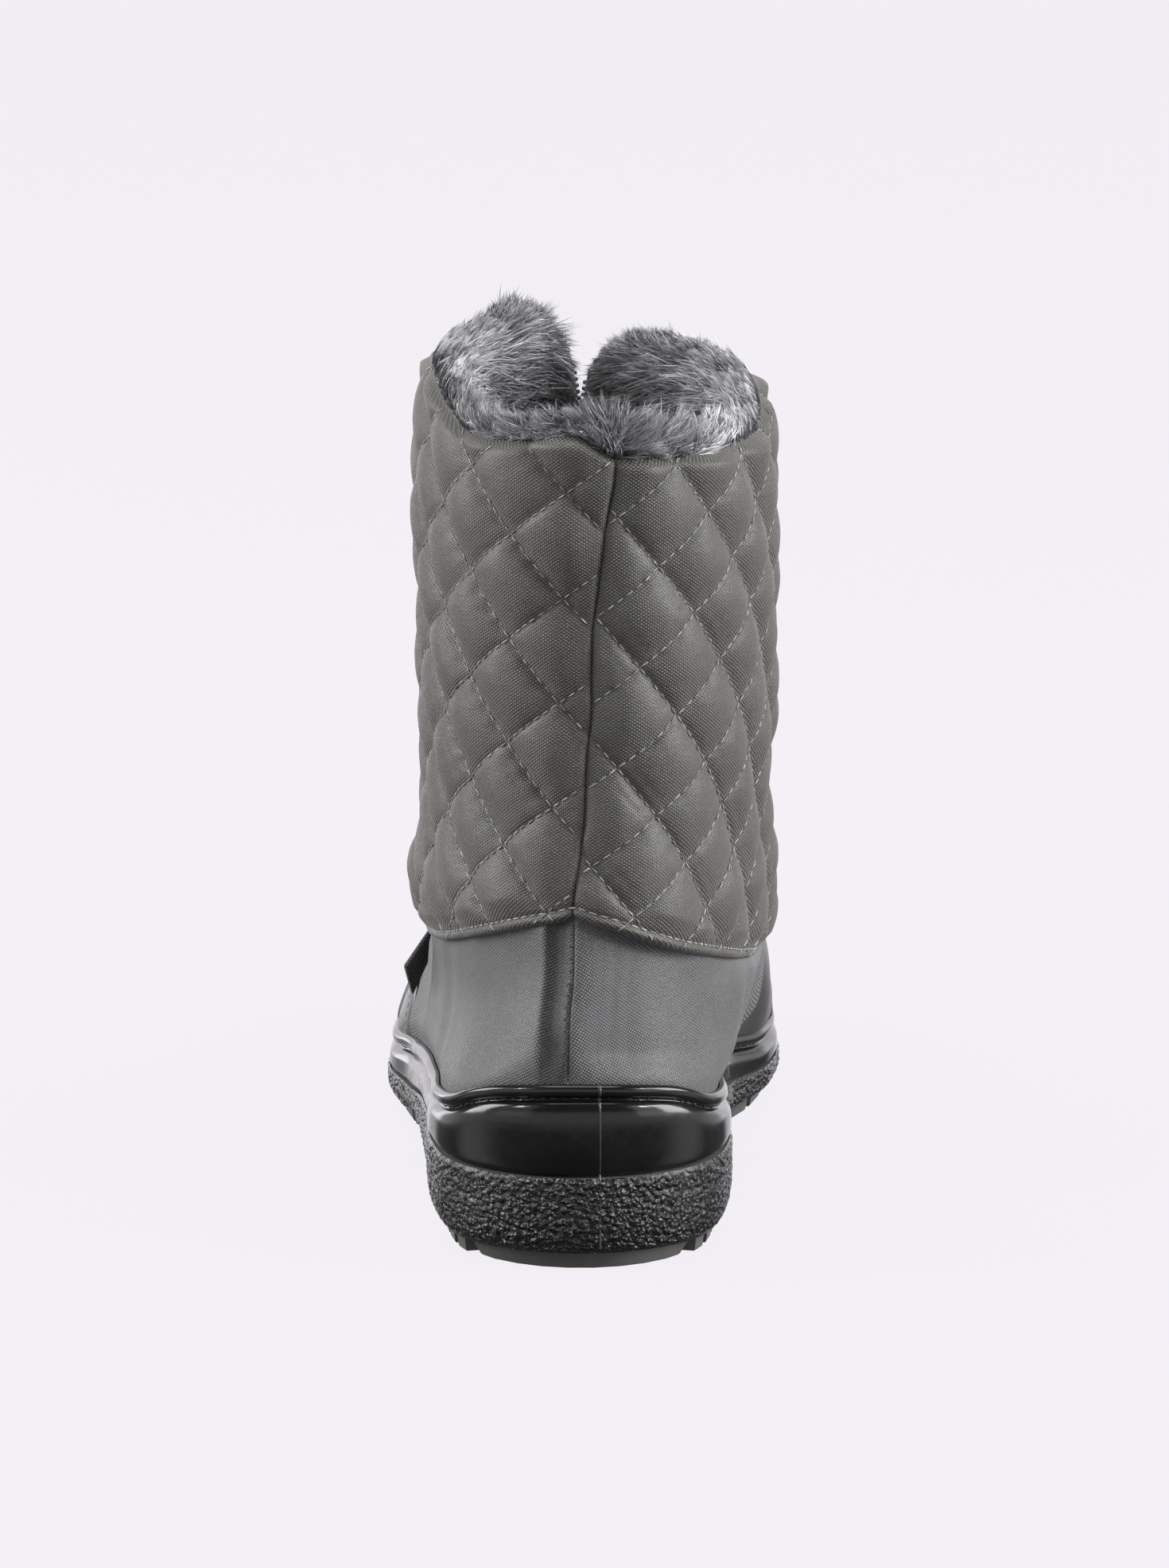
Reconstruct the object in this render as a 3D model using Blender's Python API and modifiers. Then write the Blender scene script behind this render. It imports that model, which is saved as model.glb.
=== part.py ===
"""Left ankle boot: quilted textile shaft over a hollow upper, fur collar, front zip, moulded rubber sole.

Sizes are in millimetres and MM turns them into Blender's metres. +Y runs from heel to toe, +X is the
medial side of this left shoe, +Z is up, and the floor is z = 0 under the middle of the sole.
A place on the upper is given by its turn (0 at the back of the heel, +90 degrees on the medial side,
180 degrees at the front) and its rise, which counts the rings of UPPER_RINGS from the sole upwards.
"""

import math
from collections import namedtuple

import bmesh
import bpy
from mathutils import Vector

MM = 0.001

# Driving sizes
SOLE_LENGTH = 275.0
HEEL_RADIUS = 37.0
TOE_RADIUS = 30.0
HEEL_CENTRE_X = -1.0
TOE_CENTRE_X = 4.0
UPPER_WALL = 2.0
UPPER_INSET = 3.4  # from the widest line of the sole to the upper's face
FIT_GAP = 0.3  # between pieces that touch
QUILT_GAP = 0.75  # the quilt's corners stand off by this, so that its flat facets clear the upper
QUILT_THICKNESS = 2.0
QUILT_PUFF = 1.7
COLUMNS = 56  # around the upper and the sole
SLIT_HALF_TURN = math.pi / COLUMNS  # the front column of the upper is left out as the zip's slit
QUILT_EDGE = 5.8  # from the front centre line to the quilt's edge, along the surface
SLIDER_HEIGHT = 182.0

Outline = namedtuple("Outline", "along lateral medial")
SOLE_OUTLINE = [
    Outline(12.5, 28.7, 26.7),
    Outline(37.5, 37.6, 35.6),
    Outline(72.5, 39.5, 35.0),
    Outline(98.5, 41.5, 33.6),
    Outline(132.5, 45.0, 36.4),
    Outline(167.5, 50.8, 48.0),
    Outline(192.5, 49.7, 50.8),
    Outline(222.5, 44.5, 47.0),
    Outline(247.5, 36.0, 39.5),
    Outline(265.5, 21.5, 27.0),
]

# Heights of the sole's lines, counted along the sole from the back of the heel. tuck is how
# much of the side's inset near the floor is left.
SoleLines = namedtuple("SoleLines", "along ground tread_top lip floor tuck")
SOLE_LINES = [
    SoleLines(0, 0.0, 23.3, 45.4, 26.5, 1.0),
    SoleLines(10, 0.0, 23.3, 43.2, 26.5, 1.0),
    SoleLines(22, 0.0, 23.3, 38.8, 26.3, 1.0),
    SoleLines(42, 0.0, 23.0, 35.3, 26.0, 1.0),
    SoleLines(72, 0.0, 21.8, 32.0, 24.5, 1.0),
    SoleLines(92, 2.5, 20.0, 30.2, 22.5, 0.9),
    SoleLines(117, 5.0, 15.8, 27.0, 19.0, 0.7),
    SoleLines(134, 3.0, 12.8, 24.2, 16.2, 0.6),
    SoleLines(146, 0.0, 11.6, 22.6, 15.2, 0.6),
    SoleLines(163, 0.0, 10.4, 20.0, 14.0, 0.6),
    SoleLines(190, 0.0, 9.6, 18.6, 13.3, 0.6),
    SoleLines(222, 0.0, 9.8, 19.2, 13.5, 0.7),
    SoleLines(250, 2.5, 12.5, 22.0, 16.3, 0.8),
    SoleLines(275, 9.0, 18.5, 28.0, 22.0, 0.8),
]

# Rings of the upper's outer face. foot_share is how far a ring keeps the sole's outline, and the
# rest of it is an oval of half_width about centre_x, whose front is carried sideways by front_x.
Ring = namedtuple("Ring", "rise back_y back_z front_y front_z foot_share half_width centre_x front_x")
UPPER_RINGS = [
    Ring(0, -134.1, 26.0, 134.1, 24.0, 1.00, 41.5, 0.0, 0.0),
    Ring(1, -134.1, 44.0, 134.1, 28.0, 1.00, 41.5, 1.0, 0.0),
    Ring(2, -133.0, 55.0, 127.5, 40.0, 0.55, 41.5, 2.0, 0.0),
    Ring(3, -130.5, 66.0, 112.0, 49.0, 0.15, 41.5, 2.8, 0.0),
    Ring(4, -127.5, 77.0, 90.0, 57.0, 0.00, 42.1, 2.6, -0.6),
    Ring(5, -124.5, 88.0, 66.0, 66.0, 0.00, 42.2, 2.1, -1.2),
    Ring(6, -121.5, 100.0, 44.0, 79.0, 0.00, 40.5, 2.3, -2.0),
    Ring(7, -119.5, 113.0, 26.0, 98.0, 0.00, 39.8, 2.6, -2.6),
    Ring(8, -118.5, 129.0, 15.0, 122.0, 0.00, 40.7, 3.0, -3.0),
    Ring(9, -118.0, 150.0, 9.0, 150.0, 0.00, 40.9, 3.0, -3.2),
    Ring(10, -118.0, 182.0, 5.0, 182.0, 0.00, 41.3, 2.5, -3.4),
    Ring(11, -117.0, 214.0, 0.0, 214.0, 0.00, 38.5, 2.5, -3.6),
]
LEVEL_RISE = 9  # from this ring up the rings are level and 32 mm apart
LEVEL_Z = 150.0
LEVEL_STEP = 32.0

# Height of the collar's edge by degrees round from the back, and of the fur over that edge
Collar = namedtuple("Collar", "degrees lateral medial pile")
COLLAR_TOP = [
    Collar(0, 198.0, 196.8, 5.5),
    Collar(25, 198.3, 195.5, 5.2),
    Collar(46, 199.0, 195.0, 4.6),
    Collar(60, 203.0, 195.0, 3.6),
    Collar(74, 207.5, 195.6, 2.6),
    Collar(88, 210.3, 200.0, 2.0),
    Collar(112, 210.0, 204.0, 2.2),
    Collar(133, 210.5, 204.5, 3.0),
    Collar(149, 212.0, 204.0, 3.4),
    Collar(162, 211.0, 203.2, 3.2),
    Collar(171, 207.5, 201.5, 2.8),
    Collar(180, 202.0, 198.5, 2.5),
]
# Hem of the quilted shaft as a rise
Hem = namedtuple("Hem", "degrees lateral medial")
SHAFT_HEM = [
    Hem(0, 4.66, 4.66),
    Hem(10, 4.55, 4.16),
    Hem(23, 4.45, 3.76),
    Hem(39, 4.03, 3.53),
    Hem(60, 3.62, 3.20),
    Hem(82, 3.32, 2.90),
    Hem(100, 3.35, 2.95),
    Hem(125, 3.95, 3.70),
    Hem(150, 4.85, 4.75),
    Hem(180, 5.60, 5.60),
]

# How far each front edge swings away from the middle above the slider
Spread = namedtuple("Spread", "height opening")
FRONT_SPREAD = [
    Spread(100, 0.0),
    Spread(SLIDER_HEIGHT + 5, 0.0),
    Spread(190, 0.6),
    Spread(198, 1.9),
    Spread(206, 3.4),
    Spread(216, 5.4),
]
SPREAD_REACH = 0.9  # radians of turn over which the swing fades out


class Profile:
    """A smooth line through one column of a table, which never overshoots its rows."""

    def __init__(self, rows, key, column):
        self.at = [float(getattr(row, key)) for row in rows]
        self.value = [float(getattr(row, column)) for row in rows]
        steps = [b - a for a, b in zip(self.at, self.at[1:])]
        rates = [(b - a) / s for a, b, s in zip(self.value, self.value[1:], steps)]
        self.slope = [rates[0]]
        for before, after in zip(rates, rates[1:]):
            same_way = before * after > 0
            self.slope.append(2 * before * after / (before + after) if same_way else 0.0)
        self.slope.append(rates[-1])

    def __call__(self, where):
        where = min(max(where, self.at[0]), self.at[-1])
        i = 0
        while i < len(self.at) - 2 and where > self.at[i + 1]:
            i += 1
        step = self.at[i + 1] - self.at[i]
        t = (where - self.at[i]) / step
        rest = 1 - t
        ends = self.value[i] * (1 + 2 * t) * rest**2 + self.value[i + 1] * (1 + 2 * rest) * t**2
        return ends + step * t * rest * (self.slope[i] * rest - self.slope[i + 1] * t)


def blend(a, b, share):
    return a + (b - a) * share


def share_of(turn):
    """How far along a ring a turn lies, from 0 at its back to 1 at its front."""
    return (1 - math.cos(turn)) / 2


# ---------------------------------------------------------------- the sole's outline and lines


def sole_centre_x(share):
    return blend(HEEL_CENTRE_X, TOE_CENTRE_X, share**3)


def fullness_rows(side, sign):
    """The outline divided by that of a circle, so that its round ends stay smooth."""
    Fullness = namedtuple("Fullness", "share value")
    rows = [Fullness(0.0, math.sqrt(2 * HEEL_RADIUS * SOLE_LENGTH) / 2)]
    for row in SOLE_OUTLINE:
        share = row.along / SOLE_LENGTH
        half = getattr(row, side) - sign * sole_centre_x(share)
        rows.append(Fullness(share, half / (2 * math.sqrt(share * (1 - share)))))
    rows.append(Fullness(1.0, math.sqrt(2 * TOE_RADIUS * SOLE_LENGTH) / 2))
    return rows


FULLNESS = {
    1: Profile(fullness_rows("medial", 1), "share", "value"),
    -1: Profile(fullness_rows("lateral", -1), "share", "value"),
}
GROUND = Profile(SOLE_LINES, "along", "ground")
TREAD_TOP = Profile(SOLE_LINES, "along", "tread_top")
LIP = Profile(SOLE_LINES, "along", "lip")
FLOOR = Profile(SOLE_LINES, "along", "floor")
TUCK = Profile(SOLE_LINES, "along", "tuck")


def outline_point(turn):
    share = share_of(turn)
    side = 1 if math.sin(turn) >= 0 else -1
    x = sole_centre_x(share) + math.sin(turn) * FULLNESS[side](share)
    return Vector((x, (share - 0.5) * SOLE_LENGTH, 0))


def sole_point(turn, inset=0.0):
    """A point of the sole's widest line, taken in by inset square to the line."""
    step = 0.01
    along = outline_point(turn + step) - outline_point(turn - step)
    outward = Vector((along.y, -along.x, 0)).normalized()
    return outline_point(turn) - outward * inset


def along_of(point):
    return point.y + SOLE_LENGTH / 2


# ---------------------------------------------------------------- the upper's outer face

RING = {name: Profile(UPPER_RINGS, "rise", name) for name in Ring._fields[1:]}
SIDES = {1: "medial", -1: "lateral"}
HEM_RISE = {sign: Profile(SHAFT_HEM, "degrees", side) for sign, side in SIDES.items()}
COLLAR_Z = {sign: Profile(COLLAR_TOP, "degrees", side) for sign, side in SIDES.items()}
PILE_HEIGHT = Profile(COLLAR_TOP, "degrees", "pile")
SPREAD_AT = Profile(FRONT_SPREAD, "height", "opening")
PLANE_RISE = 4  # from this ring up a ring is flat, and below it the ring sags to the lip's line


def spread_turn(turn, height):
    """Swings the turn back from the front centre line above the slider."""
    near = max(0.0, 1 - (math.pi - abs(turn)) / SPREAD_REACH)
    back = SPREAD_AT(height) / RING["half_width"](10) * near**2
    return math.copysign(abs(turn) - back, turn)


def face_point(turn, rise):
    """A point of the upper's outer face."""
    ring = {name: read(rise) for name, read in RING.items()}
    share = share_of(turn)
    height = blend(ring["back_z"], ring["front_z"], share)
    turn = spread_turn(turn, height)
    share = share_of(turn)
    foot = ring["foot_share"]
    plan = sole_point(turn, UPPER_INSET)
    if rise < PLANE_RISE:
        lip = LIP(along_of(plan)) + FIT_GAP
        if rise <= 1:
            height = blend(FLOOR(along_of(plan)) + FIT_GAP, lip, rise)
        else:
            level = blend(RING["back_z"](1), RING["front_z"](1), share)
            kept = (PLANE_RISE - rise) / (PLANE_RISE - 1)
            height += (lip - level) * kept**2 * (3 - 2 * kept)
    oval_x = ring["centre_x"] + ring["front_x"] * share**4 + math.sin(turn) * ring["half_width"]
    plan_share = plan.y / (SOLE_LENGTH - 2 * UPPER_INSET) + 0.5
    return Vector(
        (
            blend(oval_x, plan.x, foot),
            blend(ring["back_y"], ring["front_y"], blend(share, plan_share, foot)),
            height,
        )
    )


def upper_point(turn, rise, out=0.0):
    """A point that stands out from the upper's face by out, square to the face."""
    point = face_point(turn, rise)
    if not out:
        return point
    step = 0.02
    below, above = max(rise - step, 0), min(rise + step, UPPER_RINGS[-1].rise)
    around = face_point(turn + step, rise) - face_point(turn - step, rise)
    up = face_point(turn, above) - face_point(turn, below)
    return point + around.cross(up).normalized() * out


def rise_at(height):
    """The rise of a level ring of the shaft."""
    return LEVEL_RISE + (height - LEVEL_Z) / LEVEL_STEP


def sided(profiles, turn):
    """Reads a line that differs from side to side, and joins the sides at the back."""
    degrees = math.degrees(abs(turn))
    own = profiles[1 if turn >= 0 else -1](degrees)
    other = profiles[-1 if turn >= 0 else 1](degrees)
    return blend(own, (own + other) / 2, max(0.0, 1 - degrees / 12))


def collar_height(turn):
    return sided(COLLAR_Z, turn)


def collar_rise(turn):
    return rise_at(collar_height(turn))


def hem_rise(turn):
    return sided(HEM_RISE, turn)


def turn_beside_front(side, distance):
    """The turn at this distance from the front centre line, on the medial side if side is 1."""
    return side * (math.pi - distance / RING["half_width"](10))


# ---------------------------------------------------------------- building


def material(name, colour, roughness, metallic=0.0):
    made = bpy.data.materials.new(name)
    made.use_nodes = True
    shader = made.node_tree.nodes["Principled BSDF"]
    shader.inputs["Base Color"].default_value = (*colour, 1)
    shader.inputs["Roughness"].default_value = roughness
    shader.inputs["Metallic"].default_value = metallic
    made.diffuse_color = (*colour, 1)
    return made


def add_object(name, data, finish, smooth=True):
    obj = bpy.data.objects.new(name, data)
    bpy.data.collections["ankle_boot"].objects.link(obj)
    if obj.type == "MESH" and smooth:
        data.shade_smooth()
        data.set_sharp_from_angle(angle=math.radians(35))
    data.materials.append(finish)
    return obj


def finish_mesh(name, mesh, finish, smooth=True):
    """Turns a bmesh in millimetres into an object with its faces pointing out."""
    bmesh.ops.recalc_face_normals(mesh, faces=mesh.faces)
    if all(edge.is_manifold for edge in mesh.edges) and mesh.calc_volume(signed=True) < 0:
        bmesh.ops.reverse_faces(mesh, faces=mesh.faces)
    bmesh.ops.scale(mesh, vec=(MM, MM, MM), verts=mesh.verts)
    data = bpy.data.meshes.new(name)
    mesh.to_mesh(data)
    mesh.free()
    return add_object(name, data, finish, smooth)


def loft(mesh, rows, closed):
    """Faces between rows of points. closed joins the ends of each row."""
    rings = [[mesh.verts.new(point) for point in row] for row in rows]
    for lower, upper in zip(rings, rings[1:]):
        count = len(lower)
        for i in range(count if closed else count - 1):
            j = (i + 1) % count
            mesh.faces.new((lower[i], lower[j], upper[j], upper[i]))
    return rings


def rungs(mesh, ring):
    """Closes a ring with strips from its lateral to its medial side, and returns them toe first."""
    strips = []
    for i in range(len(ring) // 2 - 1):
        strips.append(mesh.faces.new((ring[i], ring[i + 1], ring[-i - 2], ring[-i - 1])))
    return strips


def solidify(obj, thickness):
    """Gives an open surface a wall on its inner side."""
    wall = obj.modifiers.new("wall", "SOLIDIFY")
    wall.thickness = thickness * MM
    wall.offset = -1
    wall.use_even_offset = True


def column_turns():
    """Turns of the shared columns, from the lateral edge of the slit to its medial edge."""
    return [-math.pi + SLIT_HALF_TURN * (2 * i + 1) for i in range(COLUMNS)]


# ---------------------------------------------------------------- the sole

# Side of the rubber, from the floor up: how far it is taken in from the widest line
LUG_DEPTH = 4.2
TreadSide = namedtuple("TreadSide", "share inset")
TREAD_SIDE = [
    TreadSide(0.0, 2.4),
    TreadSide(0.22, 1.0),
    TreadSide(0.5, 0.5),
    TreadSide(1.0, 0.5),
]
LUG_GAP = 1.4  # half the groove between two lugs
LUG_COLUMNS = 5
LUG_TAPER = 0.9
LUG_LEAST = 30.0  # square millimetres
END_STRIPS = 4  # strips joined into one lug at the heel and at the toe
CHEVRON = 4.5  # how far the rows of lugs point to the toe in the middle of the sole


def make_outsole(finish):
    """Pebbled tread unit: a slab with a rounded side, and blocks of tread drawn down from it."""
    mesh = bmesh.new()
    rows = []
    for level in TREAD_SIDE:
        row = []
        for turn in column_turns():
            inset = level.inset * TUCK(along_of(sole_point(turn)))
            point = sole_point(turn, inset)
            along = along_of(point)
            bottom = GROUND(along) + LUG_DEPTH
            row.append((point.x, point.y, blend(bottom, TREAD_TOP(along), level.share)))
        rows.append(row)
    rings = loft(mesh, rows, closed=True)
    rungs(mesh, rings[-1])
    strips = rungs(mesh, rings[0])
    bmesh.ops.recalc_face_normals(mesh, faces=mesh.faces)
    draw_lugs(mesh, strips)
    bmesh.ops.triangulate(mesh, faces=[f for f in mesh.faces if len(f.verts) > 4])
    return finish_mesh("outsole", mesh, finish)


def crosses_middle(edge):
    return edge.verts[0].co.x * edge.verts[1].co.x < 0


def looks_down(face):
    return face.normal.z < -0.9


def draw_lugs(mesh, strips):
    """Cuts the bottom into blocks, takes each block in and draws it to the ground."""
    for ends in (strips[:END_STRIPS], strips[-END_STRIPS:]):
        bmesh.ops.dissolve_faces(mesh, faces=ends)
    mesh.normal_update()
    across = [edge for edge in mesh.edges if crosses_middle(edge) and all(map(looks_down, edge.link_faces))]
    half = max(abs(vert.co.x) for edge in across for vert in edge.verts)
    cut = bmesh.ops.subdivide_edges(mesh, edges=across, cuts=LUG_COLUMNS - 1, use_grid_fill=True)
    for item in cut["geom_inner"]:
        if isinstance(item, bmesh.types.BMVert):
            item.co.y += CHEVRON * (1 - abs(item.co.x) / half)
    blocks = [face for face in mesh.faces if looks_down(face) and face.calc_area() > LUG_LEAST]
    bmesh.ops.inset_individual(mesh, faces=blocks, thickness=LUG_GAP, use_even_offset=True)
    drawn = bmesh.ops.extrude_discrete_faces(mesh, faces=blocks)["faces"]
    for face in drawn:
        middle = face.calc_center_median()
        for vert in face.verts:
            vert.co.xy = middle.xy + (vert.co.xy - middle.xy) * LUG_TAPER
            vert.co.z = GROUND(along_of(vert.co))


# Side of the cup: a place between the tread's top and the lip, what is added to it, and the inset
MidsoleSide = namedtuple("MidsoleSide", "share up inset")
MIDSOLE_SIDE = [
    MidsoleSide(0, FIT_GAP, 1.8),
    MidsoleSide(0, FIT_GAP, 0.3),
    MidsoleSide(0.2, 0.0, 0.0),
    MidsoleSide(0.5, 0.0, 0.1),
    MidsoleSide(1, -4.3, 0.9),
    MidsoleSide(1, -3.6, 1.7),
    MidsoleSide(1, -2.8, 0.8),
    MidsoleSide(1, -0.9, 1.0),
    MidsoleSide(1, 0.0, 2.2),
    MidsoleSide(1, 0.0, UPPER_INSET - FIT_GAP),
]


def make_midsole(finish):
    """Smooth rubber cup round the foot of the upper, with a groove under its lip."""
    mesh = bmesh.new()
    rows = []
    for level in MIDSOLE_SIDE:
        row = []
        for turn in column_turns():
            point = sole_point(turn, level.inset)
            along = along_of(point)
            row.append((point.x, point.y, blend(TREAD_TOP(along), LIP(along), level.share) + level.up))
        rows.append(row)
    rows.append([(x, y, FLOOR(y + SOLE_LENGTH / 2)) for x, y, _ in rows[-1]])
    rings = loft(mesh, rows, closed=True)
    rungs(mesh, rings[0])
    rungs(mesh, rings[-1])
    return finish_mesh("midsole", mesh, finish)


INSOLE_THICKNESS = 4.0


def make_insole(finish):
    """Loose footbed on the floor of the cup, inside the upper's wall."""
    inset = UPPER_INSET + UPPER_WALL + 1.0
    mesh = bmesh.new()
    rows = []
    for up, further in ((FIT_GAP, 0.0), (INSOLE_THICKNESS - 1, 0.0), (INSOLE_THICKNESS, 1.2)):
        row = []
        for turn in column_turns():
            point = sole_point(turn, inset + further)
            row.append((point.x, point.y, FLOOR(along_of(point)) + up))
        rows.append(row)
    rings = loft(mesh, rows, closed=True)
    rungs(mesh, rings[0])
    rungs(mesh, rings[-1])
    return finish_mesh("insole", mesh, finish)


# ---------------------------------------------------------------- the upper and what covers it

UPPER_ROWS = (0, 1, 2, 3, 4, 5, 5.5, 6, 6.5, 7, 7.5, 8, 9, 10)
SLIT_RISE = 6


def make_upper(finish):
    """One hollow wall from the sole to the collar, open below, at the collar and along the zip."""
    mesh = bmesh.new()
    turns = column_turns()
    rows = [[upper_point(turn, rise) for turn in turns] for rise in UPPER_ROWS]
    rows.append([upper_point(turn, collar_rise(turn)) for turn in turns])
    rings = loft(mesh, rows, closed=True)
    slit = [
        face
        for face in mesh.faces
        for row, ring in enumerate(rings[:-1])
        if ring[0] in face.verts and ring[-1] in face.verts and rings[row + 1][0] in face.verts
        if UPPER_ROWS[row] >= SLIT_RISE
    ]
    bmesh.ops.delete(mesh, geom=slit, context="FACES_ONLY")
    obj = finish_mesh("upper", mesh, finish)
    solidify(obj, UPPER_WALL)
    return obj


QUILT_COLUMNS = 28
QUILT_ROWS = 10


def make_shaft_quilt(finish):
    """Padded cover of the shaft. Sewn crossings lie low, and the middle of each diamond stands up."""
    edge = turn_beside_front(1, QUILT_EDGE)
    mesh = bmesh.new()
    rows = []
    for row in range(QUILT_ROWS + 1):
        points = []
        for column in range(QUILT_COLUMNS + 1):
            turn = blend(-edge, edge, column / QUILT_COLUMNS)
            low, high = hem_rise(turn), collar_rise(turn)
            sewn = (row + column) % 2 == 0 or row in (0, QUILT_ROWS) or column in (0, QUILT_COLUMNS)
            out = QUILT_GAP + QUILT_THICKNESS + (0 if sewn else QUILT_PUFF)
            points.append(upper_point(turn, blend(low, high, row / QUILT_ROWS), out))
        rows.append(points)
    rings = loft(mesh, rows, closed=False)
    for row in range(QUILT_ROWS):
        for column in range(QUILT_COLUMNS):
            seam = (row + column) % 2
            ends = (rings[row][column + seam], rings[row + 1][column + 1 - seam])
            bmesh.ops.connect_verts(mesh, verts=ends)
    obj = finish_mesh("shaft_quilt", mesh, finish, smooth=False)
    solidify(obj, QUILT_THICKNESS)
    return obj


GUARD_GAP = 1.15  # at its corners, so that its flat facets clear the upper
GUARD_THICKNESS = 1.2
GUARD_COLUMNS = 24
GUARD_FOOT_RISE = 1.08  # just above the lip of the sole
Guard = namedtuple("Guard", "degrees rise")
GUARD_TOP = [Guard(95, 1.4), Guard(101, 2.1), Guard(125, 2.7), Guard(150, 3.05), Guard(180, 3.2)]


def make_toe_guard(finish):
    """Smooth overlay round the toe, from the lip of the sole to above the toe box."""
    top = Profile(GUARD_TOP, "degrees", "rise")
    mesh = bmesh.new()
    rows = []
    for share in (0, 0.25, 0.5, 0.75, 1):
        row = []
        for column in range(GUARD_COLUMNS + 1):
            degrees = blend(GUARD_TOP[0].degrees, 360 - GUARD_TOP[0].degrees, column / GUARD_COLUMNS)
            high = top(min(degrees, 360 - degrees))
            turn = math.radians(degrees if degrees <= 180 else degrees - 360)
            rise = blend(GUARD_FOOT_RISE, high, share)
            row.append(upper_point(turn, rise, GUARD_GAP + GUARD_THICKNESS))
        rows.append(row)
    loft(mesh, rows, closed=False)
    obj = finish_mesh("toe_guard", mesh, finish)
    solidify(obj, GUARD_THICKNESS)
    return obj


# ---------------------------------------------------------------- the fur

# Section of the fur: stand-off from the upper's face, the line it is measured from, and its height
# over that line, where pile is the share of the height of the fur over the collar
Pile = namedtuple("Pile", "out line up pile")
FUR_SECTION = [
    Pile(-UPPER_WALL - 0.4, "foot", 0.0, 0.0),
    Pile(-UPPER_WALL - 0.4, "collar", -1.5, 0.0),
    Pile(-UPPER_WALL - 0.1, "collar", 0.9, 0.0),
    Pile(2.2, "collar", 0.9, 0.0),
    Pile(3.2, "collar", 0.9, 0.4),
    Pile(-1.0, "collar", 0.5, 1.0),
    Pile(-6.5, "collar", 0.0, 0.7),
    Pile(-9.0, "collar", -6.0, 0.0),
    Pile(-8.6, "middle", 0.0, 0.0),
    Pile(-6.0, "foot", 0.0, 0.0),
]
FUR_FOOT = 146.0
FUR_MIDDLE = 172.0
FUR_EDGE = 1.2  # from the front centre line
FUR_HAIRY = (4, 5, 6, 7)  # the sides of the section that carry locks
LOCK_LENGTH = 5.0  # at the back, and in step with the pile's height elsewhere
LOCK_SWIRL = 1.4
SHAFT_MIDDLE = 58.0  # from the shaft's axis forward to the middle of the boot
LOCK_TIP = 0.3


def fur_point(turn, pile):
    """A point of the fur's section. Above the upper's last ring it goes straight up."""
    heights = {"foot": FUR_FOOT, "middle": FUR_MIDDLE, "collar": collar_height(turn)}
    height = heights[pile.line] + pile.up + pile.pile * PILE_HEIGHT(math.degrees(abs(turn)))
    top = min(height, UPPER_RINGS[-1].front_z)
    point = upper_point(turn, rise_at(top), pile.out)
    point.z += height - top
    return point


def make_fur_collar(finish):
    """Deep pile lining the collar and rolled over its edge, with locks drawn out of it."""
    edge = turn_beside_front(1, FUR_EDGE)
    mesh = bmesh.new()
    turns = [-edge] + column_turns()[1:-1] + [edge]
    rows = [[fur_point(turn, pile) for pile in FUR_SECTION] for turn in turns]
    rings = loft(mesh, rows, closed=True)
    for end in (rings[0], rings[-1]):
        mesh.faces.new(end)
    bmesh.ops.recalc_face_normals(mesh, faces=mesh.faces)
    mesh.faces.ensure_lookup_table()
    count = len(FUR_SECTION)
    hairy = [
        mesh.faces[column * count + side]
        for column in range(len(turns) - 1)
        for side in FUR_HAIRY
        if (column + side) % 2 == 0
    ]
    locks = bmesh.ops.extrude_discrete_faces(mesh, faces=hairy)["faces"]
    for number, lock in enumerate(locks):
        middle = lock.calc_center_median()
        swirl = math.sin(number * 1.7) * LOCK_SWIRL
        degrees = math.degrees(math.atan2(middle.x - RING["centre_x"](10), -middle.y - SHAFT_MIDDLE))
        length = LOCK_LENGTH * PILE_HEIGHT(abs(degrees)) / COLLAR_TOP[0].pile
        around = Vector((-middle.y - SHAFT_MIDDLE, middle.x, 0)).normalized()
        tip = lock.normal * length + around * swirl
        for vert in lock.verts:
            vert.co = middle + (vert.co - middle) * LOCK_TIP + tip
    bmesh.ops.triangulate(mesh, faces=[f for f in mesh.faces if len(f.verts) > 4])
    return finish_mesh("fur_collar", mesh, finish, smooth=False)


# ---------------------------------------------------------------- the zip

# Section of one half of the zip: distance from the centre line and stand-off from the upper's face
Tape = namedtuple("Tape", "beside out")
TAPE_SECTION = [
    Tape(0.15, 2.2),
    Tape(0.15, -0.8),
    Tape(2.0, -0.8),
    Tape(2.0, 0.7),
    Tape(5.4, 0.7),
    Tape(5.4, 1.4),
    Tape(2.4, 1.4),
    Tape(2.4, 2.2),
]
TAPE_FOOT_RISE = 6.08
TAPE_BELOW_COLLAR = 1.0
TAPE_ROWS = 20


def make_zip_tape(name, side, finish):
    """One tape of the zip with its row of teeth as a bead, up to the corner of the collar."""
    mesh = bmesh.new()
    rows = []
    top = rise_at(collar_height(turn_beside_front(side, TAPE_SECTION[0].beside)) - TAPE_BELOW_COLLAR)
    for row in range(TAPE_ROWS + 1):
        rise = blend(TAPE_FOOT_RISE, top, row / TAPE_ROWS)
        rows.append([upper_point(turn_beside_front(side, p.beside), rise, p.out) for p in TAPE_SECTION])
    rings = loft(mesh, rows, closed=True)
    for end in (rings[0], rings[-1]):
        mesh.faces.new(end)
    bmesh.ops.triangulate(mesh, faces=[f for f in mesh.faces if len(f.verts) > 4])
    return finish_mesh(name, mesh, finish)


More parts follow.
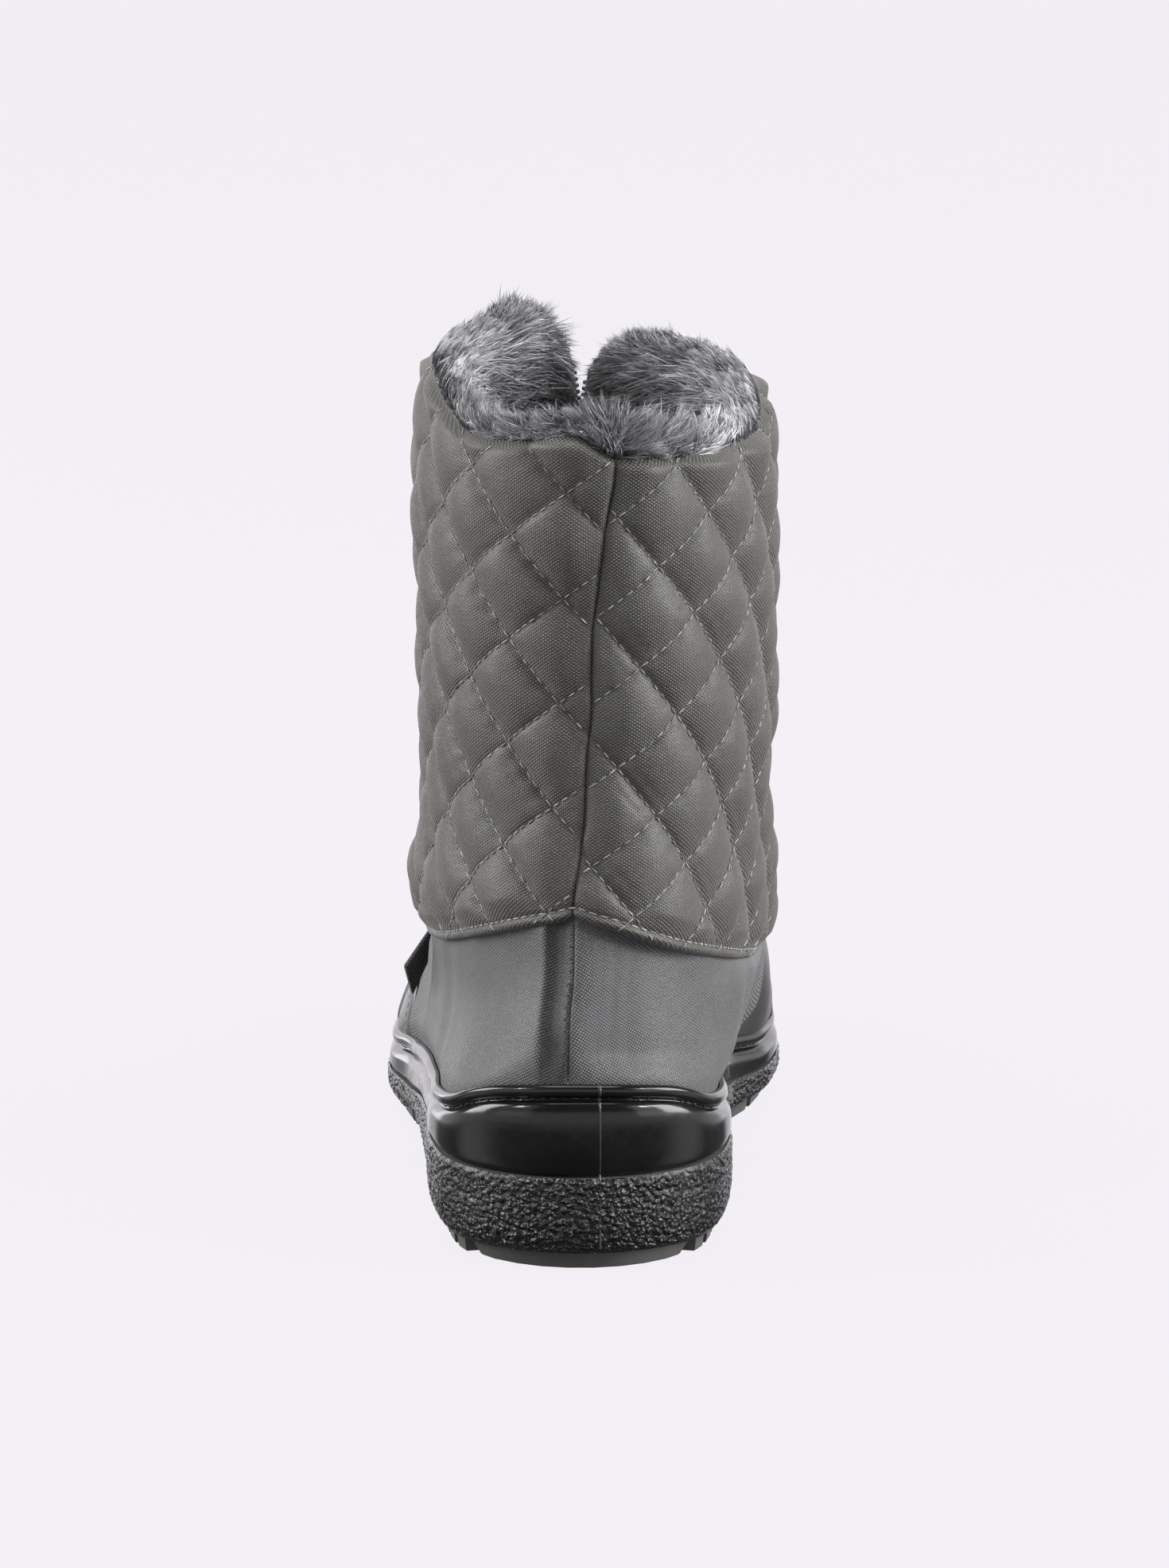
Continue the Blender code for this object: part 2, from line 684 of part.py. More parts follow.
SLIDER_LENGTH = 9.0
SLIDER_WIDTH = 8.4
SLIDER_FACE = (2.5, 3.9)  # stand-off of the front plate's two faces
FLANGE_FOOT = 1.5
FLANGE_INSIDE = 2.8
BRIDGE_WIDTH = 1.6
BRIDGE_RISE = 3.2
BRIDGE_BAR = 1.0
PIVOT_OUT = 5.2
PULL_LENGTH = 22.0
PULL_WIDTH = 6.6
PULL_THICKNESS = 1.2
WINDOW_WIDTH = 4.2
WINDOW_LENGTH = 5.6
CROSSBAR = 1.3


def flat_outline(name, loops, thickness):
    """A plate from closed outlines in its own XY plane. A loop inside another one is a hole."""
    curve = bpy.data.curves.new(name, "CURVE")
    curve.dimensions = "2D"
    curve.fill_mode = "BOTH"
    curve.extrude = thickness / 2 * MM
    for loop in loops:
        spline = curve.splines.new("POLY")
        spline.points.add(len(loop) - 1)
        spline.use_cyclic_u = True
        for point, (x, y) in zip(spline.points, loop):
            point.co = (x * MM, y * MM, 0, 1)
    return curve


def rounded_corners(half_width, bottom, top, radius, steps=3):
    """A rectangle's outline with round corners."""
    loop = []
    corners = (
        (half_width - radius, top - radius, 0),
        (-half_width + radius, top - radius, 90),
        (-half_width + radius, bottom + radius, 180),
        (half_width - radius, bottom + radius, 270),
    )
    for x, y, start in corners:
        for step in range(steps + 1):
            angle = math.radians(start + 90 * step / steps)
            loop.append((x + radius * math.cos(angle), y + radius * math.sin(angle)))
    return loop


def curve_to_mesh(obj):
    """Replaces a curve object by its own closed mesh, so that Booleans can use it."""
    graph = bpy.context.evaluated_depsgraph_get()
    data = bpy.data.meshes.new_from_object(obj.evaluated_get(graph))
    mesh = bmesh.new()
    mesh.from_mesh(data)
    bmesh.ops.remove_doubles(mesh, verts=mesh.verts, dist=1e-6)
    mesh.to_mesh(data)
    mesh.free()
    made = bpy.data.objects.new(obj.name + "_mesh", data)
    made.matrix_world = obj.matrix_world
    for collection in obj.users_collection:
        collection.objects.link(made)
    name = obj.name
    bpy.data.objects.remove(obj)
    made.name = name
    return made


def slider_frame():
    """An empty on the zip's face, its local Y up the zip and its local Z away from the boot."""
    foot = upper_point(math.pi, rise_at(SLIDER_HEIGHT - 12))
    head = upper_point(math.pi, rise_at(SLIDER_HEIGHT))
    lean = math.atan2(foot.y - head.y, head.z - foot.z)
    frame = bpy.data.objects.new("slider_frame", None)
    bpy.data.collections["ankle_boot"].objects.link(frame)
    frame.location = head * MM
    # Half a turn about Z as well, so that local Z looks towards the toe.
    frame.rotation_euler = (math.pi / 2 - lean, 0, math.pi)
    return frame


def make_zip_slider(frame, finish):
    """Channel over the teeth with a bridge for the pull."""
    half = SLIDER_WIDTH / 2
    low, high = SLIDER_FACE
    channel = [
        (-half, FLANGE_FOOT),
        (-FLANGE_INSIDE, FLANGE_FOOT),
        (-FLANGE_INSIDE, low),
        (FLANGE_INSIDE, low),
        (FLANGE_INSIDE, FLANGE_FOOT),
        (half, FLANGE_FOOT),
        (half, high - 0.6),
        (half - 0.8, high),
        (-half + 0.8, high),
        (-half, high - 0.6),
    ]
    body = add_object("zip_slider", flat_outline("zip_slider", [channel], SLIDER_LENGTH), finish)
    body.parent = frame
    body.rotation_euler = (math.pi / 2, 0, 0)
    reach = SLIDER_LENGTH / 2 - 0.4
    outer = [(-reach, high - 0.4), (-reach, high + BRIDGE_RISE - 0.9), (-reach + 1.1, high + BRIDGE_RISE)]
    inner = [(-reach + BRIDGE_BAR, high - 0.4), (-reach + BRIDGE_BAR, high + BRIDGE_RISE - BRIDGE_BAR)]
    arch = outer + [(-x, y) for x, y in reversed(outer)] + [(-x, y) for x, y in inner] + inner[::-1]
    bridge = add_object("slider_bridge", flat_outline("slider_bridge", [arch], BRIDGE_WIDTH), finish)
    bridge.parent = frame
    bridge.rotation_euler = (math.pi / 2, 0, math.pi / 2)
    bpy.context.view_layer.update()
    body, bridge = curve_to_mesh(body), curve_to_mesh(bridge)
    body.data.name = "zip_slider"
    join = body.modifiers.new("bridge", "BOOLEAN")
    join.operation = "UNION"
    join.object = bridge
    bridge.hide_render = True
    bridge.display_type = "WIRE"
    bpy.data.collections["ankle_boot"].objects.unlink(bridge)
    bpy.data.collections["cutters"].objects.link(bridge)
    return body


def make_zip_pull(frame, finish):
    """Flat tab with a window round the slider's bridge. Its origin is the hinge, in its crossbar."""
    half_bar = CROSSBAR / 2
    plate = rounded_corners(PULL_WIDTH / 2, -PULL_LENGTH, half_bar, half_bar)
    window = rounded_corners(WINDOW_WIDTH / 2, -half_bar - WINDOW_LENGTH, -half_bar, 0.6)
    pull = add_object("zip_pull", flat_outline("zip_pull", [plate, window], PULL_THICKNESS), finish)
    pull.parent = frame
    pull.location = (0, 0, PIVOT_OUT * MM)
    bpy.context.view_layer.update()
    return pull


# ---------------------------------------------------------------- the side label

LABEL_TURN = -math.radians(84)
LABEL_HEIGHT = 6.9
LABEL_TOP_WIDTH = 5.0
LABEL_FOOT_WIDTH = 2.9
LABEL_DROOP = 6.3
LABEL_THICKNESS = 1.1


def make_side_label(finish):
    """Small folded tab sewn into the side seam under the hem. It stands off and droops."""
    rise = hem_rise(LABEL_TURN)
    top = upper_point(LABEL_TURN, rise - 0.12, FIT_GAP + 0.3)
    below = upper_point(LABEL_TURN, rise - 1.3, FIT_GAP + 0.3)
    down = (below - top).normalized()
    out = (Vector((-1, -0.75, 0)) - down * Vector((-1, -0.75, 0)).dot(down)).normalized()
    across = down.cross(out)
    bpy.ops.mesh.primitive_cube_add(size=1)
    label = bpy.context.object
    label.name = label.data.name = "side_label"
    for vert in label.data.vertices:
        width, low, depth = (vert.co.x + 0.5, 0.5 - vert.co.z, vert.co.y)
        reach = out * (width * blend(LABEL_TOP_WIDTH, LABEL_FOOT_WIDTH, low))
        drop = down * (low * LABEL_HEIGHT + width * LABEL_DROOP)
        vert.co = (top + reach + drop + across * (depth * LABEL_THICKNESS)) * MM
    mesh = bmesh.new()
    mesh.from_mesh(label.data)
    bmesh.ops.recalc_face_normals(mesh, faces=mesh.faces)
    mesh.to_mesh(label.data)
    mesh.free()
    label.data.materials.append(finish)
    for collection in label.users_collection:
        collection.objects.unlink(label)
    bpy.data.collections["ankle_boot"].objects.link(label)
    soft = label.modifiers.new("soft edges", "BEVEL")
    soft.width = 0.3 * MM
    soft.segments = 1
    return label


# ---------------------------------------------------------------- the boot


def main():
    for obj in list(bpy.data.objects):
        bpy.data.objects.remove(obj)
    for name in ("ankle_boot", "cutters"):
        bpy.context.scene.collection.children.link(bpy.data.collections.new(name))
    bpy.data.collections["cutters"].hide_render = True

    pebbled = material("pebbled rubber", (0.018, 0.018, 0.017), 0.45)
    smooth_rubber = material("smooth rubber", (0.015, 0.015, 0.014), 0.28)
    textile = material("woven textile", (0.19, 0.19, 0.185), 0.85)
    quilted = material("quilted textile", (0.17, 0.165, 0.155), 0.85)
    leather = material("smooth leather", (0.03, 0.03, 0.03), 0.35)
    fur = material("fur", (0.33, 0.33, 0.335), 0.95)
    felt = material("felt", (0.09, 0.09, 0.095), 0.95)
    tape = material("zip tape", (0.03, 0.03, 0.03), 0.8)
    metal = material("dark metal", (0.25, 0.25, 0.26), 0.35, 1.0)
    ribbon = material("woven ribbon", (0.02, 0.02, 0.02), 0.7)

    make_outsole(pebbled)
    make_midsole(smooth_rubber)
    make_insole(felt)
    make_upper(textile)
    make_toe_guard(leather)
    make_shaft_quilt(quilted)
    make_fur_collar(fur)
    make_zip_tape("zip_tape_lateral", -1, tape)
    make_zip_tape("zip_tape_medial", 1, tape)
    frame = slider_frame()
    make_zip_slider(frame, metal)
    make_zip_pull(frame, metal)
    make_side_label(ribbon)


main()
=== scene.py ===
import math

import bmesh
import bpy
import numpy as np
from mathutils import Matrix


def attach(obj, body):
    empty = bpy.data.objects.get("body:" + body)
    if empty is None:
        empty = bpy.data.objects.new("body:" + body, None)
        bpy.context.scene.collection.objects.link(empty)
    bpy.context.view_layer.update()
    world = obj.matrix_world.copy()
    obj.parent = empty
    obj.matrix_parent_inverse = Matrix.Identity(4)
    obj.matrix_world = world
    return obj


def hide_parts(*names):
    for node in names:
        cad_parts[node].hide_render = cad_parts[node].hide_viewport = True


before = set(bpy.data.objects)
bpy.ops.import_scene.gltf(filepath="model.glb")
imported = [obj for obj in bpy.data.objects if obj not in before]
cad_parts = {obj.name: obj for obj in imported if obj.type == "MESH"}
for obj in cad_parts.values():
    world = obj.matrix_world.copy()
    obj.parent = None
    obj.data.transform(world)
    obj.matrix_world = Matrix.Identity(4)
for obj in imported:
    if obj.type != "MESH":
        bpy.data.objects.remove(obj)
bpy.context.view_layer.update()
print("frame loaded")

mm = 0.001
seed = np.random.default_rng(7)

# The boot's own measures, all in millimetres. +Y runs from heel to toe, +X is the medial side and
# the floor is z = 0. A place is given by its turn (0 at the back, +90 degrees medial, 180 at the
# front) and its rise, which counts the rings of upperRings from the sole up.
sole = dict(
    length=275.0,
    heelRadius=37.0,
    toeRadius=30.0,
    heelCentre=-1.0,
    toeCentre=4.0,
    upperInset=3.4,
    gap=0.3,
)
soleOutline = [  # along the sole, lateral half width, medial half width
    (12.5, 28.7, 26.7), (37.5, 37.6, 35.6), (72.5, 39.5, 35.0), (98.5, 41.5, 33.6),
    (132.5, 45.0, 36.4), (167.5, 50.8, 48.0), (192.5, 49.7, 50.8), (222.5, 44.5, 47.0),
    (247.5, 36.0, 39.5), (265.5, 21.5, 27.0),
]
soleLines = [  # along, ground, top of the tread, lip, floor, tuck of the side
    (0, 0.0, 23.3, 46.3, 26.5, 1.0), (10, 0.0, 23.3, 43.5, 26.5, 1.0),
    (22, 0.0, 23.3, 38.6, 26.3, 1.0), (42, 0.0, 23.0, 35.3, 26.0, 1.0),
    (72, 0.0, 21.8, 32.0, 24.5, 1.0), (92, 2.5, 20.0, 30.2, 22.5, 0.9),
    (117, 5.0, 15.8, 27.0, 19.0, 0.7), (134, 3.0, 12.8, 24.2, 16.2, 0.6),
    (146, 0.0, 11.6, 22.6, 15.2, 0.6), (163, 0.0, 10.4, 20.0, 14.0, 0.6),
    (190, 0.0, 9.6, 18.6, 13.3, 0.6), (222, 0.0, 9.8, 19.2, 13.5, 0.7),
    (250, 2.5, 12.5, 22.0, 16.3, 0.8), (275, 9.0, 18.5, 28.0, 22.0, 0.8),
]
# rise, back y and z, front y and z, share of the sole's outline, half width, centre x, front x
upperRings = [
    (0, -134.1, 26.0, 134.1, 24.0, 1.00, 41.5, 0.0, 0.0),
    (1, -134.1, 44.0, 134.1, 28.0, 1.00, 41.5, 1.0, 0.0),
    (2, -133.0, 55.0, 127.5, 40.0, 0.55, 41.5, 2.0, 0.0),
    (3, -130.5, 66.0, 112.0, 49.0, 0.15, 41.5, 2.8, 0.0),
    (4, -127.5, 77.0, 90.0, 57.0, 0.00, 42.1, 2.6, -0.6),
    (5, -124.5, 88.0, 66.0, 66.0, 0.00, 42.2, 2.1, -1.2),
    (6, -121.5, 100.0, 44.0, 79.0, 0.00, 40.5, 2.3, -2.0),
    (7, -119.5, 113.0, 26.0, 98.0, 0.00, 39.8, 2.6, -2.6),
    (8, -118.5, 129.0, 15.0, 122.0, 0.00, 40.7, 3.0, -3.0),
    (9, -118.0, 150.0, 9.0, 150.0, 0.00, 40.9, 3.0, -3.2),
    (10, -118.0, 182.0, 5.0, 182.0, 0.00, 41.3, 2.5, -3.4),
    (11, -117.0, 214.0, 0.0, 214.0, 0.00, 38.5, 2.5, -3.6),
]
collarTop = [  # degrees from the back, lateral height, medial height, pile of the fur
    (0, 198.0, 196.8, 5.5), (25, 198.3, 195.5, 5.2), (46, 199.0, 195.0, 4.6),
    (60, 203.0, 195.0, 3.6), (74, 207.5, 195.6, 2.6), (88, 210.3, 200.0, 2.0),
    (112, 210.0, 204.0, 2.2), (133, 210.5, 204.5, 3.0), (149, 212.0, 204.0, 3.4),
    (162, 211.0, 203.2, 3.2), (171, 207.5, 201.5, 2.8), (180, 202.0, 198.5, 2.5),
]
shaftHem = [  # degrees from the back seam, rise on the lateral side, rise on the medial side
    (0, 4.75, 4.75), (5, 4.63, 4.62), (13, 4.52, 4.43), (22, 4.37, 4.16), (31, 4.19, 3.90),
    (43, 3.92, 3.62), (60, 3.55, 3.24), (82, 3.32, 2.90), (100, 3.35, 2.95), (125, 3.95, 3.70),
    (150, 4.85, 4.75), (180, 5.60, 5.60),
]
# height, how far each edge of the collar opens from the front's middle
frontSpread = [(100, 0.0), (187, 0.0), (190, 0.6), (198, 1.9), (206, 3.4), (216, 5.4)]
backSeam = [  # height, x of the seam at the back
    (46, -4.0), (61, -3.7), (72, -2.7), (85.4, -2.5), (91.5, -1.9), (102, -0.4), (108, 0.3),
    (123, 0.7), (133, 1.7), (155, 2.1), (164, 3.2), (173.6, 4.4), (182.5, 5.3), (192, 7.0),
    (198.5, 7.4),
]
slitTurn = math.pi / 56  # half the open column of the upper at the zip
slitRise = 6.0
frontWidth = 41.3  # half width of the shaft at its top
topWidth = 40.0  # as much as a radian of turn comes to at the collar
lastRing = 11
ringStep = 32.0  # height from the ninth ring to the tenth, and from there to the last
seamTop = 10.5  # rise at which the back seam meets the collar


class Profile:  # a smooth line through one column of a table, which never overshoots its rows
    def __init__(self, rows, column):
        self.at = np.array([row[0] for row in rows], float)
        self.value = np.array([row[column] for row in rows], float)
        rates = np.diff(self.value) / np.diff(self.at)
        inner = [2 * a * b / (a + b) if a * b > 0 else 0.0 for a, b in zip(rates, rates[1:])]
        self.slope = np.array([rates[0], *inner, rates[-1]])

    def __call__(self, where):
        where = np.clip(where, self.at[0], self.at[-1])
        i = np.clip(np.searchsorted(self.at, where) - 1, 0, len(self.at) - 2)
        step = self.at[i + 1] - self.at[i]
        t = (where - self.at[i]) / step
        rest = 1 - t
        ends = self.value[i] * (1 + 2 * t) * rest**2 + self.value[i + 1] * (1 + 2 * rest) * t**2
        return ends + step * t * rest * (self.slope[i] * rest - self.slope[i + 1] * t)


def blend(a, b, share):
    return a + (b - a) * share


def smooth(low, high, value):
    t = np.clip((value - low) / (high - low), 0, 1)
    return t * t * (3 - 2 * t)


def shareOf(turn):
    return (1 - np.cos(turn)) / 2


def soleCentre(share):
    return blend(sole["heelCentre"], sole["toeCentre"], share**3)


def fullnessRows(column, sign):
    rows = [(0.0, math.sqrt(2 * sole["heelRadius"] * sole["length"]) / 2)]
    for row in soleOutline:
        share = row[0] / sole["length"]
        half = row[column] - sign * soleCentre(share)
        rows.append((share, half / (2 * math.sqrt(share * (1 - share)))))
    rows.append((1.0, math.sqrt(2 * sole["toeRadius"] * sole["length"]) / 2))
    return rows


fullMedial = Profile(fullnessRows(2, 1), 1)
fullLateral = Profile(fullnessRows(1, -1), 1)
groundLine, treadLine, lipLine, floorLine, tuckLine = (Profile(soleLines, i) for i in range(1, 6))
backY, backZ, frontY, frontZ, footShare = (Profile(upperRings, i) for i in range(1, 6))
halfWidth, centreX, frontX = (Profile(upperRings, i) for i in range(6, 9))
spreadAt = Profile(frontSpread, 1)
seamX = Profile(backSeam, 1)
pileHeight = Profile(collarTop, 3)


def outlinePoint(turn):
    share = shareOf(turn)
    full = np.where(np.sin(turn) >= 0, fullMedial(share), fullLateral(share))
    return np.stack([soleCentre(share) + np.sin(turn) * full, (share - 0.5) * sole["length"]], axis=-1)


def matched(*values):
    return np.broadcast_arrays(*(np.asarray(value, float) for value in values))


def unit(vectors):
    return vectors / np.maximum(np.linalg.norm(vectors, axis=-1, keepdims=True), 1e-9)


def bell(value, middle, width):  # a hump, 1 at its middle
    return np.exp(-(((value - middle) / width) ** 2))


def rounded(distance, radius, least):  # how high a rounded edge stands, at a distance in from it
    return np.sqrt(np.maximum(least, 1 - (1 - np.clip(distance / radius, 0, 1)) ** 2))


def solePoint(turn, inset):
    turn, inset = matched(turn, inset)
    along = outlinePoint(turn + 0.01) - outlinePoint(turn - 0.01)
    outward = unit(np.stack([along[..., 1], -along[..., 0]], axis=-1))
    return outlinePoint(turn) - outward * inset[..., None]


def alongOf(point):
    return point[..., 1] + sole["length"] / 2


def facePoint(turn, rise):  # a point of the upper's outer face
    turn, rise = matched(turn, rise)
    share = shareOf(turn)
    height = blend(backZ(rise), frontZ(rise), share)
    near = np.maximum(0, 1 - (math.pi - np.abs(turn)) / 0.9)  # the columns that open with the collar
    turn = np.copysign(np.abs(turn) - spreadAt(height) / frontWidth * near**2, turn)
    share = shareOf(turn)
    foot = footShare(rise)
    plan = solePoint(turn, sole["upperInset"])
    lip = lipLine(alongOf(plan)) + sole["gap"]
    base = floorLine(alongOf(plan)) + sole["gap"]
    sag = (lip - blend(backZ(1), frontZ(1), share)) * smooth(4, 1, rise)
    height = np.where(rise <= 1, blend(base, lip, np.clip(rise, 0, 1)), height + sag)
    oval = centreX(rise) + frontX(rise) * share**4 + np.sin(turn) * halfWidth(rise)
    planShare = plan[..., 1] / (sole["length"] - 2 * sole["upperInset"]) + 0.5
    y = blend(backY(rise), frontY(rise), blend(share, planShare, foot))
    return np.stack([blend(oval, plan[..., 0], foot), y, height], axis=-1)


def faceNormal(turn, rise):
    low, high = np.maximum(rise - 0.02, 0), np.minimum(rise + 0.02, lastRing)
    around = facePoint(turn + 0.02, rise) - facePoint(turn - 0.02, rise)
    return unit(np.cross(around, facePoint(turn, high) - facePoint(turn, low)))


def upwardAt(turn, rise):
    return unit(facePoint(turn, rise + 0.05) - facePoint(turn, rise))


def upperPoint(turn, rise, out):
    turn, rise, out = matched(turn, rise, out)
    return facePoint(turn, rise) + faceNormal(turn, rise) * out[..., None]


def riseAt(height):
    return 9 + (height - 150.0) / ringStep


def sided(rows, turn):
    degrees = np.degrees(np.abs(turn))
    lateral, medial = Profile(rows, 1)(degrees), Profile(rows, 2)(degrees)
    own = np.where(turn >= 0, medial, lateral)
    other = np.where(turn >= 0, lateral, medial)
    return blend(own, (own + other) / 2, np.maximum(0, 1 - degrees / 12) ** 2)


def collarHeight(turn):
    return sided(collarTop, turn)


def collarRise(turn):
    return riseAt(collarHeight(turn))


def nearSeam(turn):  # 1 at the back seam, falling to 0 where columns no longer lean with it
    return np.maximum(0, 1 - np.abs(turn) / 1.4)


def hemRise(turn):
    return sided(shaftHem, turn - seamTurn(4.7) * nearSeam(turn))


def frontTurn(distance):
    return math.pi - distance / frontWidth


# Lengths along the surface: around from the back's middle, and up, which is the height at the back
turnSteps, riseSteps = 360, 170
lowRise = 0.8
markedRow, markedUp = 154, 182.0  # a row by the tenth ring, and the length up that it is given
turnTable = np.linspace(-math.pi, math.pi, turnSteps + 1)
surface = facePoint(turnTable[None, :], np.linspace(lowRise, lastRing, riseSteps + 1)[:, None])
aroundTable = np.cumsum(np.linalg.norm(np.diff(surface, axis=1, prepend=surface[:, :1]), axis=2), axis=1)
aroundTable -= aroundTable[:, turnSteps // 2, None]
upTable = np.cumsum(np.linalg.norm(np.diff(surface, axis=0, prepend=surface[:1]), axis=2), axis=0)
upTable += markedUp - upTable[markedRow]


def readTable(table, turn, rise):
    c = np.clip((turn + math.pi) / (2 * math.pi) * turnSteps, 0, turnSteps - 0.001)
    r = np.clip((rise - lowRise) / (lastRing - lowRise) * riseSteps, 0, riseSteps - 0.001)
    i, j = r.astype(int), c.astype(int)
    low = blend(table[i, j], table[i, j + 1], c - j)
    return blend(low, blend(table[i + 1, j], table[i + 1, j + 1], c - j), r - i)


def lengthsAt(turn, rise):
    return readTable(aroundTable, turn, rise), readTable(upTable, turn, rise)


def placeOf(around, up):  # turn and rise of a place given by its lengths along the surface
    turn, rise = around / 45.0, riseAt(up)
    for _ in range(14):
        ahead, behind = (readTable(aroundTable, turn + step, rise) for step in (0.03, -0.03))
        perTurn = (ahead - behind) / 0.06
        perRise = (readTable(upTable, turn, rise + 0.1) - readTable(upTable, turn, rise - 0.1)) / 0.2
        turn = turn + 0.9 * (around - readTable(aroundTable, turn, rise)) / np.maximum(perTurn, 8)
        rise = rise + 0.9 * (up - readTable(upTable, turn, rise)) / np.maximum(perRise, 6)
        turn = np.clip(turn, -math.pi, math.pi)
        rise = np.clip(rise, 0.85, 10.95)
    return turn, rise


# Where the back seam lies: its turn at each rise, and its length around at each length up
seamRises = np.linspace(1.0, 10.7, 195)
seamTurns = np.zeros_like(seamRises)
for _ in range(8):
    seamPoint = facePoint(seamTurns, seamRises)
    perTurn = (facePoint(seamTurns + 0.01, seamRises) - facePoint(seamTurns - 0.01, seamRises))[:, 0] / 0.02
    seamTurns -= (seamPoint[:, 0] - seamX(seamPoint[:, 2])) / perTurn
seamArounds, seamUps = lengthsAt(seamTurns, seamRises)


def seamTurn(rise):
    return np.interp(rise, seamRises, seamTurns)


def seamAround(up):
    return np.interp(up, seamUps, seamArounds)


def besideSeam(turn):  # how far to the right of the back seam, at the collar
    return (turn - seamTurn(seamTop)) * topWidth


def waves(x, y, size, start):  # a soft random field from -1 to 1, from crossing sine waves
    total = 0
    for k in range(5):
        angle = start * 1.3 + k * 2.4
        pitch = size * (0.7 + 0.19 * k)
        along = x * math.cos(angle) + y * math.sin(angle)
        total = total + np.sin(along * 2 * math.pi / pitch + k * 1.9 + start)
    return total / 5


def spread(x, y, k):  # a number from 0 to 1 that belongs to a cell
    return np.modf(np.abs(np.sin(x * 127.1 + y * 311.7 + k * 74.7) * 43758.5453))[0]


def pebbles(x, y, size):  # distance from the nearest of a scatter of points, in sizes
    cx, cy = np.floor(x / size), np.floor(y / size)
    best = np.full(x.shape, 9.0)
    for i in (-1, 0, 1):
        for j in (-1, 0, 1):
            px = cx + i + 0.1 + 0.8 * spread(cx + i, cy + j, 1)
            py = cy + j + 0.1 + 0.8 * spread(cx + i, cy + j, 2)
            best = np.minimum(best, np.hypot(x / size - px, y / size - py))
    return best


def gridOf(columns, rows):  # an empty sheet whose corners run from 0 to 1
    bm = bmesh.new()
    bmesh.ops.create_grid(bm, x_segments=columns, y_segments=rows, size=0.5)
    bmesh.ops.translate(bm, vec=(0.5, 0.5, 0), verts=bm.verts)
    return bm


def meshFrom(bm, name):
    mesh = bpy.data.meshes.new(name)
    bm.to_mesh(mesh)
    bm.free()
    return mesh


def valuesOf(items, name, width=1, kind=float):  # one setting of every item, as an array
    found = np.empty(len(items) * width, kind)
    items.foreach_get(name, found)
    return found.reshape(-1, width) if width > 1 else found


def layCloth(mesh, lengths):  # the piece's own UV map, from a pair of lengths at each vertex
    layer = mesh.uv_layers.get("cloth") or mesh.uv_layers.new(name="cloth")
    corner = valuesOf(mesh.loops, "vertex_index", kind=int)
    layer.uv.foreach_set("vector", lengths[corner].astype(np.float32).ravel())


def linked(name, data):
    obj = bpy.data.objects.new(name, data)
    bpy.context.scene.collection.objects.link(obj)
    return obj


def addPiece(name, mesh, *finishes):
    for finish in finishes:
        mesh.materials.append(finish)
    mesh.shade_smooth()
    obj = linked(name, mesh)
    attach(obj, "boot")
    return obj


def wrapped(name, columns, rows, place, weld=False):
    # A sheet whose corners are carried to where place says. place gives points and cloth lengths.
    mesh = meshFrom(gridOf(columns, rows), name)
    flat = valuesOf(mesh.vertices, "co", 3)
    points, lengths = place(flat[:, 0], flat[:, 1])
    mesh.vertices.foreach_set("co", (points * mm).ravel())
    layCloth(mesh, np.stack(lengths, axis=-1))
    if weld:
        bm = bmesh.new()
        bm.from_mesh(mesh)
        bmesh.ops.remove_doubles(bm, verts=bm.verts, dist=1e-7)
        bm.to_mesh(mesh)
        bm.free()
    mesh.update()
    # Faces point away from a line that runs down the leg and along the foot, in metres
    centre, normal = valuesOf(mesh.polygons, "center", 3), valuesOf(mesh.polygons, "normal", 3)
    y = np.clip(centre[:, 1], -0.085, 0.085)
    z = np.where(centre[:, 1] > 0.02, 0.03, centre[:, 2])
    core = np.stack([np.full(len(y), 0.002), y, z], axis=-1)
    if np.sum((centre - core) * normal) < 0:
        mesh.flip_normals()
    return mesh


def sheet(name, size, place, *finishes, weld=True):
    return addPiece(name, wrapped(name, size["columns"], size["rows"], place, weld), *finishes)


def manyOf(name, bm, marks, placed):
    # One mesh from many copies of a small one, each with its mark. placed gives all their points.
    small = meshFrom(bm, name + ".one")
    shape = valuesOf(small.vertices, "co", 3)
    loops = valuesOf(small.loops, "vertex_index", kind=int)
    totals = np.tile(valuesOf(small.polygons, "loop_total", kind=int), len(marks))
    bpy.data.meshes.remove(small)
    points = placed(shape).reshape(-1, 3)
    every = (loops + len(shape) * np.arange(len(marks))[:, None]).ravel()
    mesh = bpy.data.meshes.new(name)
    mesh.vertices.add(len(points))
    mesh.vertices.foreach_set("co", (points * mm).ravel())
    mesh.loops.add(len(every))
    mesh.loops.foreach_set("vertex_index", every)
    mesh.polygons.add(len(totals))
    mesh.polygons.foreach_set("loop_start", np.concatenate([[0], np.cumsum(totals)[:-1]]))
    mesh.polygons.foreach_set("loop_total", totals)
    layCloth(mesh, np.stack([np.repeat(marks, len(shape)), np.tile(shape[:, 1], len(marks))], axis=-1))
    mesh.update()
    mesh.validate()
    return mesh


def copies(name, bm, origins, axes):  # axes holds three scaled axes for each copy
    def placed(shape):
        return origins[:, None] + np.einsum("vk,nkc->nvc", shape, axes)

    return manyOf(name, bm, seed.random(len(origins)), placed)


def spaced(points, pitch, *lines, start=0.0):  # the values of lines at an even pitch along points
    length = np.concatenate([[0], np.cumsum(np.linalg.norm(np.diff(points, axis=0), axis=1))])
    at = np.arange(start, length[-1], pitch)
    return [np.interp(at, length, line) for line in lines]


